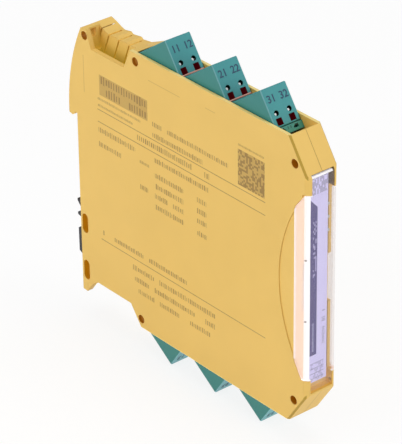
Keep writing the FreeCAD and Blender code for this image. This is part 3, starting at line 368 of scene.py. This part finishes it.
def shell_details(kit, sign):
    """What both half shells share: eased edges painted dark as painted shade, a dark seam, deep
    holes and pockets in painted shade with a painted glow, painted glow in the vent and its slits,
    painted highlights along the walls' top and foot, the slot in painted shade and a lip with
    painted light.
    """
    across, back, height = kit.split()
    inward = kit.math("SUBTRACT", HALF_WIDTH / MM, kit.math("MULTIPLY", across, sign))
    middle = MIDDLE / MM
    apart = kit.math("ABSOLUTE", kit.math("SUBTRACT", height, middle))
    mirrored = kit.math("ADD", apart, middle)
    join = kit.add("ShaderNodeCombineXYZ")
    kit.feed(join.inputs[1], kit.math("MULTIPLY", back, SLANT_NORMAL.y))
    kit.feed(join.inputs[2], kit.math("MULTIPLY", mirrored, SLANT_NORMAL.z))
    split = kit.add("ShaderNodeSeparateXYZ")
    kit.link(join.outputs[0], split.inputs[0])
    above = kit.math("ADD", split.outputs[1], split.outputs[2])
    deep = kit.math("SUBTRACT", SLANT_NORMAL.dot(SLANT_POINT) / MM, above)
    ends = kit.math("GREATER_THAN", apart, ENDS_FROM)
    # painted shade: the chamfers at the ends of the slanted front are painted darker
    chamfer = kit.both([kit.within(inward, 0.02, 0.75), kit.within(deep, 0.02, 0.75), ends])
    kit.paint(kit.math("MULTIPLY", chamfer, 0.85), linear(178, 142, 34))
    seam = kit.both([kit.math("LESS_THAN", kit.math("ABSOLUTE", across), 0.11),
                     kit.within(deep, -0.05, 0.05), ends])
    kit.paint(kit.math("MULTIPLY", seam, 0.55), linear(140, 100, 30))
    # painted shade inside the round holes: brown paint, with a painted glow over it
    holes = [kit.disc(back, apart, centre, HOLE_PAINT) for centre in (REAR_HOLE, FRONT_HOLE)]
    inside = kit.both([kit.either(holes), kit.within(inward, 0.12, 4.7)])
    block_hole = kit.both([kit.disc(back, height, BLOCK_HOLE, HOLE_PAINT),
                           kit.within(inward, 0.12, 2.5)])
    inside = kit.either([inside, block_hole])
    kit.paint(inside, linear(160, 96, 4))
    kit.glow(inside, linear(128, 78, 2), 0.38)
    # painted shade in the side pockets, with a painted glow over it
    pockets = kit.either([kit.within(height, low, high) for low, high in POCKET_HEIGHTS])
    pockets = kit.both([pockets, kit.within(back, *POCKET_BACK), kit.within(inward, 0.08, 1.9)])
    kit.paint(pockets, linear(172, 118, 6))
    kit.glow(pockets, linear(160, 106, 0), 0.45)
    # painted glow on the vent's slats, stronger towards the bottom
    between = kit.both([kit.within(back, *VENT_BACK), kit.within(inward, *VENT_INWARD),
                        kit.math("LESS_THAN", height, 48.3)])
    vent = kit.both([between, kit.math("LESS_THAN", height, 46.9)])
    kit.glow(kit.math("MULTIPLY", vent, kit.ramp(height, 48.5, 37.0)), linear(168, 164, 48), 0.36)
    # painted glow in the slits at the top of the vent
    lean_back = kit.math("MULTIPLY_ADD", height, SLIT_LEAN,
                         SLIT_FIRST[0] - SLIT_FIRST[1] * SLIT_LEAN)
    slit = kit.math("FRACT", kit.math("DIVIDE", kit.math("SUBTRACT", lean_back, back), SLIT_PITCH))
    slit = kit.both([kit.math("LESS_THAN", slit, SLIT_SHARE), between,
                     kit.math("GREATER_THAN", height, 46.7), kit.math("LESS_THAN", back, -8.4)])
    kit.glow(slit, linear(206, 176, 84), 0.42)
    # painted highlight along the top face of the wall
    wall_top = kit.both([kit.math("GREATER_THAN", height, 50.36), kit.within(inward, *WALL_EDGE)])
    kit.paint(kit.math("MULTIPLY", wall_top, 0.8), linear(255, 232, 150))
    # painted highlight: a glow along the foot of the wall
    wall_foot = kit.both([kit.math("LESS_THAN", height, -48.66), kit.within(inward, *WALL_EDGE)])
    kit.glow(wall_foot, linear(255, 238, 180), 0.5)
    # painted shade in the slot at the top of the front
    slot = kit.both([kit.math("LESS_THAN", kit.math("ABSOLUTE", across), SLOT_HALF),
                     kit.within(back, *SLOT_BACK),
                     kit.within(height, 33.0, 39.5)])
    kit.paint(kit.math("MULTIPLY", slot, 0.85), linear(96, 66, 14))
    # painted light: the lip below the slot painted yellow-brown and given a glow, lighter than the
    # shade it lies in
    lip = kit.both([kit.math("LESS_THAN", kit.math("ABSOLUTE", across), SLOT_HALF),
                    kit.within(back, *SLOT_BACK),
                    kit.within(height, -36.4, -33.0)])
    kit.paint(kit.math("MULTIPLY", lip, 0.6), linear(196, 150, 60))
    kit.glow(lip, linear(190, 146, 60), 0.3)


shell_details(printed, -1.0)
shell_details(yellow, 1.0)
header_green = moulded("header_green", linear(70, 150, 140), 0.5)
foot_black = moulded("foot_black", linear(42, 42, 46), 0.5)
board_green = moulded("board_green", linear(20, 82, 44), 0.35)
relay_grey = moulded("relay_grey", linear(214, 212, 205), 0.45)
carrier_white = moulded("carrier_white", linear(236, 236, 236), 0.5)
chip_black = moulded("chip_black", linear(26, 26, 28), 0.5)
winding = moulded("winding_amber", linear(190, 150, 70), 0.4)
sleeve = moulded("sleeve_blue", linear(60, 62, 90), 0.35)
label_lilac = moulded("label_lilac", linear(222, 214, 255), 0.4, drift=0.02)


STRIPE_EDGE = -1.45
LABEL_CELL = (0.55, 0.75)
LABEL_RULES = (-26.4, -28.2, -30.0, -31.8)
LABEL_RULE_HALF = 0.16


def label_print(kit):
    """A dark stripe with light marks, a speckled field above it and a small ruled table below."""
    across, back, height = kit.split()
    violet = linear(66, 50, 124)
    top = kit.math("SUBTRACT", 26.3, kit.math("MULTIPLY", across, 1.1))
    stripe = kit.both([kit.within(across, -4.3, STRIPE_EDGE),
                       kit.math("LESS_THAN", height, top),
                       kit.math("GREATER_THAN", height, -23.3)])
    kit.paint(stripe, violet)
    cells = (kit.math("DIVIDE", across, LABEL_CELL[0]), kit.math("DIVIDE", height, LABEL_CELL[1]))
    marks = kit.both([kit.math("GREATER_THAN", kit.chance(*cells), 0.68),
                      kit.rectangle(across, height, (-3.1, -1.7), (4.0, 24.0)), 0.6])
    kit.paint(marks, linear(196, 188, 232))
    upper = kit.both([kit.math("GREATER_THAN", kit.chance(*cells), 0.42),
                      kit.math("GREATER_THAN", height, 32.2), 0.55])
    kit.paint(upper, linear(126, 120, 150))
    rows = kit.either([printed_row(kit, height, across, -22.0, -11.5, -2.9, 0.9, 310.0),
                       printed_row(kit, height, across, -20.5, -8.5, 1.3, 1.5, 320.0)])
    on_stripe = kit.math("LESS_THAN", across, STRIPE_EDGE)
    beside = kit.math("GREATER_THAN", across, STRIPE_EDGE)
    kit.paint(kit.both([rows, on_stripe, 0.75]), linear(206, 200, 240))
    kit.paint(kit.both([rows, beside, 0.7]), linear(112, 106, 140))
    rules = kit.either([kit.within(height, level - LABEL_RULE_HALF, level + LABEL_RULE_HALF)
                        for level in LABEL_RULES])
    kit.paint(kit.both([rules, kit.within(across, -4.0, 1.6), 0.6]), linear(120, 114, 156))
    table = kit.both([kit.math("GREATER_THAN", kit.chance(*cells), 0.62),
                      kit.rectangle(across, height, (-3.6, 1.4), (-32.6, -26.6)), 0.4])
    kit.paint(table, linear(120, 114, 156))


label_print(label_lilac)


def metal(name, colour, roughness):
    """Drawn metal with faint streaks."""
    kit = Nodes(name)
    kit.shader.inputs["Metallic"].default_value = 1.0
    streak = kit.noise(3000.0, 2.0, (1, 1, 12))
    tone = kit.blend(streak, tuple(c * 0.85 for c in colour[:3]) + (1,), colour)
    kit.link(tone, kit.shader.inputs["Base Color"])
    uneven = kit.math("MULTIPLY_ADD", streak, 0.2, roughness - 0.1)
    kit.link(uneven, kit.shader.inputs["Roughness"])
    return kit


spring_steel = metal("spring_steel", (0.62, 0.62, 0.64, 1), 0.3)
tin = metal("tinned_copper", (0.75, 0.74, 0.7, 1), 0.3)


def clear(name, colour, alpha, roughness):
    """Clear plastic sheet: mostly see-through, with its own gloss."""
    kit = Nodes(name)
    tone = kit.ramp(kit.noise(40.0, 2.0), 0.2, 0.8)
    shade = tuple(c * 0.97 for c in colour[:3]) + (1,)
    kit.link(kit.blend(tone, shade, colour), kit.shader.inputs["Base Color"])
    kit.shader.inputs["Alpha"].default_value = alpha
    kit.shader.inputs["Roughness"].default_value = roughness
    return kit


cover_clear = clear("cover_clear", linear(244, 240, 250), 0.12, 0.12)


def cover_details(kit):
    """Edges and chamfers of the clear sheet, which catch more light than its faces: painted
    highlights and glow there, and painted light on the wings.
    """
    across, back, height = kit.split()
    side = kit.math("ABSOLUTE", across)
    middle = MIDDLE / MM
    apart = kit.math("ABSOLUTE", kit.math("SUBTRACT", height, middle))
    front = -cover_low[1] / MM
    rear = -cover_high[1] / MM
    behind = kit.math("MULTIPLY", back, -1.0)
    left = kit.math("LESS_THAN", across, 0.0)
    chamfer = kit.both([kit.within(side, 4.75, 6.6), kit.within(behind, front - 1.35, front - 0.02),
                        kit.within(apart, -1.0, 33.0)])
    rim = kit.either([
        kit.both([kit.math("LESS_THAN", behind, rear + 0.2), kit.within(side, 5.4, 6.6)]),
        kit.both([kit.within(apart, 31.9, 33.0), kit.within(side, 4.2, 6.6)]),
        kit.math("GREATER_THAN", height, (cover_high[2] / MM) - 0.55),
    ])
    wing = kit.both([kit.math("GREATER_THAN", side, 5.5),
                     kit.within(behind, rear + 0.35, front - 1.3)])
    far_side = kit.both([kit.math("GREATER_THAN", across, 4.7),
                         kit.math("LESS_THAN", behind, front - 0.05)])
    kit.paint(kit.either([chamfer, rim]), linear(255, 253, 255))
    # painted light: the wings painted lighter
    kit.paint(kit.math("MULTIPLY", wing, 0.9), linear(255, 240, 236))
    kit.paint(far_side, linear(248, 224, 214))
    marks = kit.both([kit.either([kit.disc(behind, height, (front - 1.0, level), 0.3)
                                  for level in (11.1, -10.2)]), left, chamfer])
    kit.paint(marks, linear(84, 76, 88))
    sheet = kit.math("MULTIPLY_ADD", kit.math("MULTIPLY", wing, left), 0.3, 0.07)
    sheet = kit.math("MAXIMUM", sheet, kit.both([chamfer, left, 0.8]))
    sheet = kit.math("MAXIMUM", sheet, kit.math("MULTIPLY", rim, 0.85))
    sheet = kit.math("MAXIMUM", sheet, kit.math("MULTIPLY", far_side, 0.24))
    kit.link(sheet, kit.shader.inputs["Alpha"])
    kit.glow(kit.either([kit.both([chamfer, left]), rim]), linear(255, 253, 255), 0.22)
    # painted light: a glow on the wings where the sheet shades the yellow below
    kit.glow(kit.math("MULTIPLY", wing, left), linear(255, 232, 226), 0.26)


cover_details(cover_clear)
guide_clear = clear("guide_clear", linear(235, 240, 235), 0.5, 0.1)

NODE_LOOKS = {
    "left_shell": printed, "right_shell": yellow, "clear_cover": cover_clear,
    "rail_foot": foot_black, "foot_spring": spring_steel, "main_board": board_green,
    "relay_upper": relay_grey, "relay_lower": relay_grey, "transformer": winding,
    "capacitor": sleeve, "controller_chip_1": chip_black, "controller_chip_2": chip_black,
    "front_carrier": carrier_white, "label_strip": label_lilac,
    "light_guide_1": guide_clear, "light_guide_2": guide_clear, "light_guide_3": guide_clear,
}


def rank_frame(word, number):
    """(crest, out, down) of a plug: a point on its crest and two directions along its face."""
    low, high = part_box("plug_%s_%d" % (word, number))
    sign = 1.0 if word == "top" else -1.0
    out = Vector((0.0, -math.cos(LEAN), sign * math.sin(LEAN)))
    down = Vector((0.0, -math.sin(LEAN), -sign * math.cos(LEAN)))
    edge = high[2] if sign > 0 else low[2]
    eased = PLUG_ROUND * math.sin(LEAN)
    crest = Vector((0.0, low[1] + PLUG_HEIGHT * math.sin(LEAN) - eased, edge + sign * eased))
    return crest, out, down


def plug_look(word, number):
    """Green moulding whose wire entries and holes fall into the dark behind the face: painted shade
    there, with a dark red painted glow in the entries.
    """
    kit = moulded("plug_green_%s_%d" % (word, number), linear(60, 149, 152), 0.45)
    crest, out, down = rank_frame(word, number)
    depth = kit.math("MULTIPLY", kit.along_axis(out, crest), -1.0)
    fall = kit.along_axis(down, crest)
    across = kit.math("ABSOLUTE", kit.split()[0])
    # painted shade: the side faces painted darker than the face
    side = kit.math("GREATER_THAN", across, 4.9)
    kit.paint(kit.math("MULTIPLY", side, 0.85), linear(40, 126, 118))
    # painted highlight along the face's side edges
    rim = kit.both([kit.within(across, 4.68, 5.1), kit.math("LESS_THAN", depth, 0.3)])
    kit.paint(kit.math("MULTIPLY", rim, 0.5), linear(136, 184, 190))
    if number < 3:
        # pinkish strip along the face's lower lip, with a painted glow
        lip = kit.both([kit.within(fall, 11.78, 12.6), kit.math("LESS_THAN", depth, 0.9)])
        kit.paint(kit.math("MULTIPLY", lip, 0.9), linear(224, 164, 148))
        kit.glow(lip, linear(200, 140, 124), 0.25)
    if word == "bottom":
        # painted light from below: a glow on the bottom plugs' faces
        kit.glow(kit.math("LESS_THAN", depth, 0.3), linear(150, 196, 206), 0.22)
    # painted shade deep in the wire entries, dark red, with a painted glow; painted shade in the
    # release holes
    entry = kit.rectangle(across, fall, (1.28, 3.78), (9.45, 11.95))
    release = kit.disc(across, fall, (2.5, 8.05), 0.95)
    deep_entry = kit.both([entry, kit.within(depth, 0.04, 12.0)])
    kit.paint(deep_entry, linear(60, 5, 9))
    kit.glow(deep_entry, linear(70, 2, 8), 0.5)
    kit.paint(kit.both([release, kit.within(depth, 0.04, 12.0)]), linear(8, 30, 26))
    return kit


def header_marks(kit, word):
    """Painted shade: dark notches painted in the edge of the header below the last plug's face."""
    crest, out, down = rank_frame(word, 3)
    fall = kit.along_axis(down, crest)
    depth = kit.math("MULTIPLY", kit.along_axis(out, crest), -1.0)
    across = kit.math("ABSOLUTE", kit.split()[0])
    marks = kit.both([kit.rectangle(across, fall, (2.0, 3.4), (12.9, 13.8)),
                      kit.math("LESS_THAN", depth, 6.0)])
    arch = kit.rectangle(across, fall, (0.3, 0.75), (12.8, 13.7))
    kit.paint(kit.either([marks, kit.math("MULTIPLY", arch, 0.6)]), linear(12, 56, 44))


for word, number in RANKS:
    tag = "%s_%d" % (word, number)
    NODE_LOOKS["plug_" + tag] = plug_look(word, number)
    NODE_LOOKS["header_" + tag] = header_green
    for side in ("left", "right"):
        NODE_LOOKS["clamp_%s_%s" % (side, tag)] = spring_steel
        NODE_LOOKS["pin_%s_%s" % (side, tag)] = tin
for word in ("top", "bottom"):
    edge_look = moulded("header_green_" + word, linear(66, 152, 140), 0.5)
    header_marks(edge_look, word)
    NODE_LOOKS["header_%s_3" % word] = edge_look
for name, kit in NODE_LOOKS.items():
    mesh = nodes[name].data
    mesh.materials.clear()
    mesh.materials.append(kit.material)


# ------------------------------------------------------------------ numbers and release blades
number_ink = moulded("number_ink", linear(40, 76, 104), 0.5)
# painted glint: the release blades are white domes standing in for the light off the metal inside
# the holes
blade_glint = moulded("blade_painted_glint", linear(246, 248, 248), 0.3)


def place_on_face(points, crest, down, out):
    """Points (across, up the face, off the face) in millimetres, set on a plug's face."""
    points = np.asarray(points, dtype=float) * MM
    base = np.array([(1.0, 0.0, 0.0), tuple(-down), tuple(out)])
    return points @ base + np.array(crest)


def new_object(name, points, faces, look):
    """A mesh object of one material, linked to the scene."""
    mesh = bpy.data.meshes.new(name)
    mesh.from_pydata([tuple(point) for point in points], [], [tuple(face) for face in faces])
    mesh.materials.append(look.material)
    mesh.update()
    piece = bpy.data.objects.new(name, mesh)
    bpy.context.scene.collection.objects.link(piece)
    return piece


def add_piece(name, points, faces, look, body):
    """A piece that rides on one body."""
    piece = new_object(name, points, faces, look)
    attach(piece, body)


def ring_faces(rings, spokes):
    """Quads between rings of points, from the middle outwards."""
    ring = np.arange(rings - 1)[:, None] * spokes
    spoke = np.arange(spokes)[None, :]
    after = (spoke + 1) % spokes
    return np.stack([ring + spoke, ring + spokes + spoke, ring + spokes + after, ring + after],
                    axis=-1).reshape(-1, 4)


def lettered(text, size):
    """Vertices and faces of a flat number, centred on its own middle."""
    curve = bpy.data.curves.new("number", "FONT")
    curve.body = text
    curve.size = size
    curve.align_x = "CENTER"
    curve.align_y = "CENTER"
    curve.resolution_u = 4
    curve.offset = 0.05
    curve.extrude = 0.02
    source = bpy.data.objects.new("number", curve)
    mesh = bpy.data.meshes.new_from_object(source)
    points = np.empty(len(mesh.vertices) * 3)
    mesh.vertices.foreach_get("co", points)
    faces = [tuple(face.vertices) for face in mesh.polygons]
    bpy.data.meshes.remove(mesh)
    bpy.data.objects.remove(source)
    bpy.data.curves.remove(curve)
    return points.reshape(-1, 3), faces


DOME_RISE = 0.12


def blade_grid(centre, radius, rings=5, spokes=20):
    """Low dome: height falls with the square of the distance from the middle."""
    reach = np.linspace(0.0, 1.0, rings)[:, None]
    turn = np.linspace(0.0, 2 * math.pi, spokes, endpoint=False)[None, :]
    across = centre[0] + radius * reach * np.cos(turn)
    up = centre[1] + radius * reach * np.sin(turn)
    off = centre[2] + DOME_RISE * (1.0 - reach ** 2) + 0.0 * turn
    points = np.stack([across, up, off], axis=-1).reshape(-1, 3)
    return points, ring_faces(rings, spokes)


# across and up a plug's face from its crest, in millimetres
NUMBER_PLACES = (("left", -2.3), ("right", 2.5))
NUMBER_UP = -3.6
NUMBER_SIZE = 3.3
BLADE_APART = 2.5
BLADE_SHIFT = -0.28
BLADE_UP = -8.33
BLADE_RADIUS = 0.5
BLADE_SUNK = -0.5
PLUG_NUMBERS = {"top": ((11, 12), (21, 22), (31, 32)), "bottom": ((13, 14), (23, 24), (33, 34))}
for word, number in RANKS:
    crest, out, down = rank_frame(word, number)
    tag = "%s_%d" % (word, number)
    body = "terminal_" + tag
    for (side, place), value in zip(NUMBER_PLACES, PLUG_NUMBERS[word][number - 1]):
        points, faces = lettered(str(value), NUMBER_SIZE)
        points = points + np.array([place, NUMBER_UP, 0.02])
        if word == "bottom":
            points[:, 0] = 2 * place - points[:, 0]
        add_piece("number_%s_%s" % (side, tag), place_on_face(points, crest, down, out), faces,
                  number_ink, body)
        middle = math.copysign(BLADE_APART, place) + BLADE_SHIFT
        points, faces = blade_grid((middle, BLADE_UP, BLADE_SUNK), BLADE_RADIUS)
        if word == "bottom":
            faces = faces[:, ::-1]
        add_piece("blade_%s_%s" % (side, tag), place_on_face(points, crest, down, out), faces,
                  blade_glint, body)


# ------------------------------------------------------------------ the foot's spring
spring_low, spring_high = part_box("foot_spring")
COIL_RADIUS = 1.0 * MM
WIRE_RADIUS = (spring_high[0] - spring_low[0]) / 2 - COIL_RADIUS
COIL_TURNS = 6
CLOSING = 0.6


def coil_grid(middle_back, low, high, steps=32, ring=10):
    """Tube round a helix: x, y = R cos a, R sin a with a = 2 pi n t, and the height
    z = t - CLOSING sin(2 pi t) / (2 pi), so that the turns close up towards both ends."""
    t = np.linspace(0.0, 1.0, COIL_TURNS * steps + 1)
    turn = 2 * math.pi * COIL_TURNS * t
    rise = t - CLOSING * np.sin(2 * math.pi * t) / (2 * math.pi)
    height = high - (high - low) * rise
    radial = np.stack([np.cos(turn), np.sin(turn), np.zeros_like(t)], axis=-1)
    centre = COIL_RADIUS * radial + np.stack([0 * t, 0 * t + middle_back, height], axis=-1)
    tangent = np.gradient(centre, axis=0)
    tangent /= np.linalg.norm(tangent, axis=1, keepdims=True)
    upward = np.cross(tangent, radial)
    around = np.linspace(0.0, 2 * math.pi, ring, endpoint=False)
    outward = np.cos(around)[None, :, None] * radial[:, None, :]
    sideways = np.sin(around)[None, :, None] * upward[:, None, :]
    points = (centre[:, None, :] + WIRE_RADIUS * (outward + sideways)).reshape(-1, 3)
    step = np.arange(len(t) - 1)[:, None] * ring
    spoke = np.arange(ring)[None, :]
    after = (spoke + 1) % ring
    sides = np.stack([step + spoke, step + after, step + ring + after, step + ring + spoke],
                     axis=-1).reshape(-1, 4)
    last = (len(t) - 1) * ring
    caps = [list(range(ring))[::-1], [last + i for i in range(ring)]]
    return points, [list(face) for face in sides] + caps


coil_back = (spring_low[1] + spring_high[1]) / 2
coil_low = spring_low[2] + WIRE_RADIUS
coil_high = spring_high[2] - WIRE_RADIUS
points, faces = coil_grid(coil_back, coil_low, coil_high)
coil = new_object("foot_spring_coil", points, faces, spring_steel)
for face in coil.data.polygons:
    face.use_smooth = True
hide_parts("foot_spring")
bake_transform(coil)

# ------------------------------------------------------------------ floors of the rear holes
DISC_RADIUS = 1.47
DISC_RINGS, DISC_SPOKES = 4, 24
DISC_DEPTH = 0.9
# painted shade: the hole floors painted brown, with a painted glow
hole_look = moulded("hole_brown", linear(150, 92, 4), 0.6)
hole_look.glow(1.0, linear(128, 78, 2), 0.3)


def hole_floor(side, level):
    """Flat disc across a round wall hole, facing out of that wall."""
    reach = np.linspace(0.0, DISC_RADIUS, DISC_RINGS)[:, None]
    turn = np.linspace(0.0, 2 * math.pi, DISC_SPOKES, endpoint=False)[None, :]
    back = REAR_HOLE[0] + reach * np.cos(turn)
    up = level + reach * np.sin(turn)
    across = np.full_like(up, side * (HALF_WIDTH / MM - DISC_DEPTH))
    points = np.stack([across, back, up], axis=-1).reshape(-1, 3) * MM
    faces = ring_faces(DISC_RINGS, DISC_SPOKES)
    return points, faces if side > 0 else faces[:, ::-1]


for side, side_word in ((-1, "left"), (1, "right")):
    for word, sign in (("top", 1), ("bottom", -1)):
        points, faces = hole_floor(side, MIDDLE / MM + sign * REAR_HOLE[1])
        add_piece("hole_floor_%s_%s" % (side_word, word), points, faces, hole_look,
                  "housing")


# ------------------------------------------------------------------ camera, floor and light
AZIMUTH = math.radians(-39.795)
ELEVATION = math.radians(29.677)
ROLL = math.radians(-0.662)
DISTANCE = 0.90807
TARGET = Vector((0.0, -0.057, 0.0))
LENS = 261.0
SHIFT = (-0.01585, -0.00284)
back = Vector((math.sin(AZIMUTH) * math.cos(ELEVATION),
               -math.cos(AZIMUTH) * math.cos(ELEVATION), math.sin(ELEVATION)))
right = Vector((math.cos(AZIMUTH), math.sin(AZIMUTH), 0.0))
up = back.cross(right)
turned_right = right * math.cos(ROLL) + up * math.sin(ROLL)
turned_up = up * math.cos(ROLL) - right * math.sin(ROLL)
camera_data = bpy.data.cameras.new("camera")
camera_data.sensor_fit = "HORIZONTAL"
camera_data.sensor_width = 36.0
camera_data.lens = LENS
camera_data.shift_x, camera_data.shift_y = SHIFT
camera_data.clip_start = 0.01
camera_data.clip_end = 20.0
camera = bpy.data.objects.new("camera", camera_data)
bpy.context.scene.collection.objects.link(camera)
turn = Matrix((turned_right, turned_up, back)).transposed().to_4x4()
camera.matrix_world = Matrix.Translation(TARGET + back * DISTANCE) @ turn
bpy.context.scene.camera = camera

FLOOR_LEVEL = cad_box[0][2] - 0.3 * MM
FLOOR_HALF = 3.0
FLOOR_GLOW = 1.04
FLOOR_SHARE = 0.8
floor_look = Nodes("floor_pale")
floor_look.link(floor_look.blend(floor_look.noise(3.0), (0.9, 0.9, 0.9, 1), (0.93, 0.93, 0.93, 1)),
                floor_look.shader.inputs["Base Color"])
floor_look.shader.inputs["Roughness"].default_value = 0.8
rays = floor_look.add("ShaderNodeLightPath")
seen = floor_look.either([rays.outputs["Is Camera Ray"], rays.outputs["Is Glossy Ray"],
                          rays.outputs["Is Transmission Ray"]])
glow = floor_look.add("ShaderNodeEmission")
glow.inputs["Strength"].default_value = FLOOR_GLOW
mixed = floor_look.add("ShaderNodeMixShader")
floor_look.link(floor_look.math("MULTIPLY", seen, FLOOR_SHARE), mixed.inputs[0])
floor_look.link(floor_look.shader.outputs[0], mixed.inputs[1])
floor_look.link(glow.outputs[0], mixed.inputs[2])
floor_look.link(mixed.outputs[0], floor_look.tree.nodes["Material Output"].inputs["Surface"])
corners = [(x * FLOOR_HALF, y * FLOOR_HALF, FLOOR_LEVEL)
           for x, y in ((-1, -1), (1, -1), (1, 1), (-1, 1))]
floor = new_object("floor", corners, [(0, 1, 2, 3)], floor_look)


LIGHT_AIM = Vector((0.0, -0.055, 0.0))


def softbox(name, place, size, power):
    """A rectangular light turned towards the housing."""
    light = bpy.data.lights.new(name, "AREA")
    light.shape = "RECTANGLE"
    light.size, light.size_y = size
    light.energy = power
    lamp = bpy.data.objects.new(name, light)
    bpy.context.scene.collection.objects.link(lamp)
    lamp.location = place
    lamp.rotation_euler = (LIGHT_AIM - Vector(place)).to_track_quat("-Z", "Y").to_euler()


softbox("left_softbox", (-0.85, 0.12, 0.2), (0.7, 0.8), 3.3)
softbox("front_softbox", (0.35, -1.0, 0.35), (0.6, 0.8), 3.4)
softbox("top_softbox", (0.1, 0.0, 1.1), (0.9, 0.9), 3.6)
world = bpy.data.worlds.new("studio")
world.use_nodes = True
world.node_tree.nodes["Background"].inputs["Color"].default_value = (1.0, 1.0, 1.0, 1)
world.node_tree.nodes["Background"].inputs["Strength"].default_value = 0.45
bpy.context.scene.world = world
bpy.context.scene.view_settings.view_transform = "Standard"
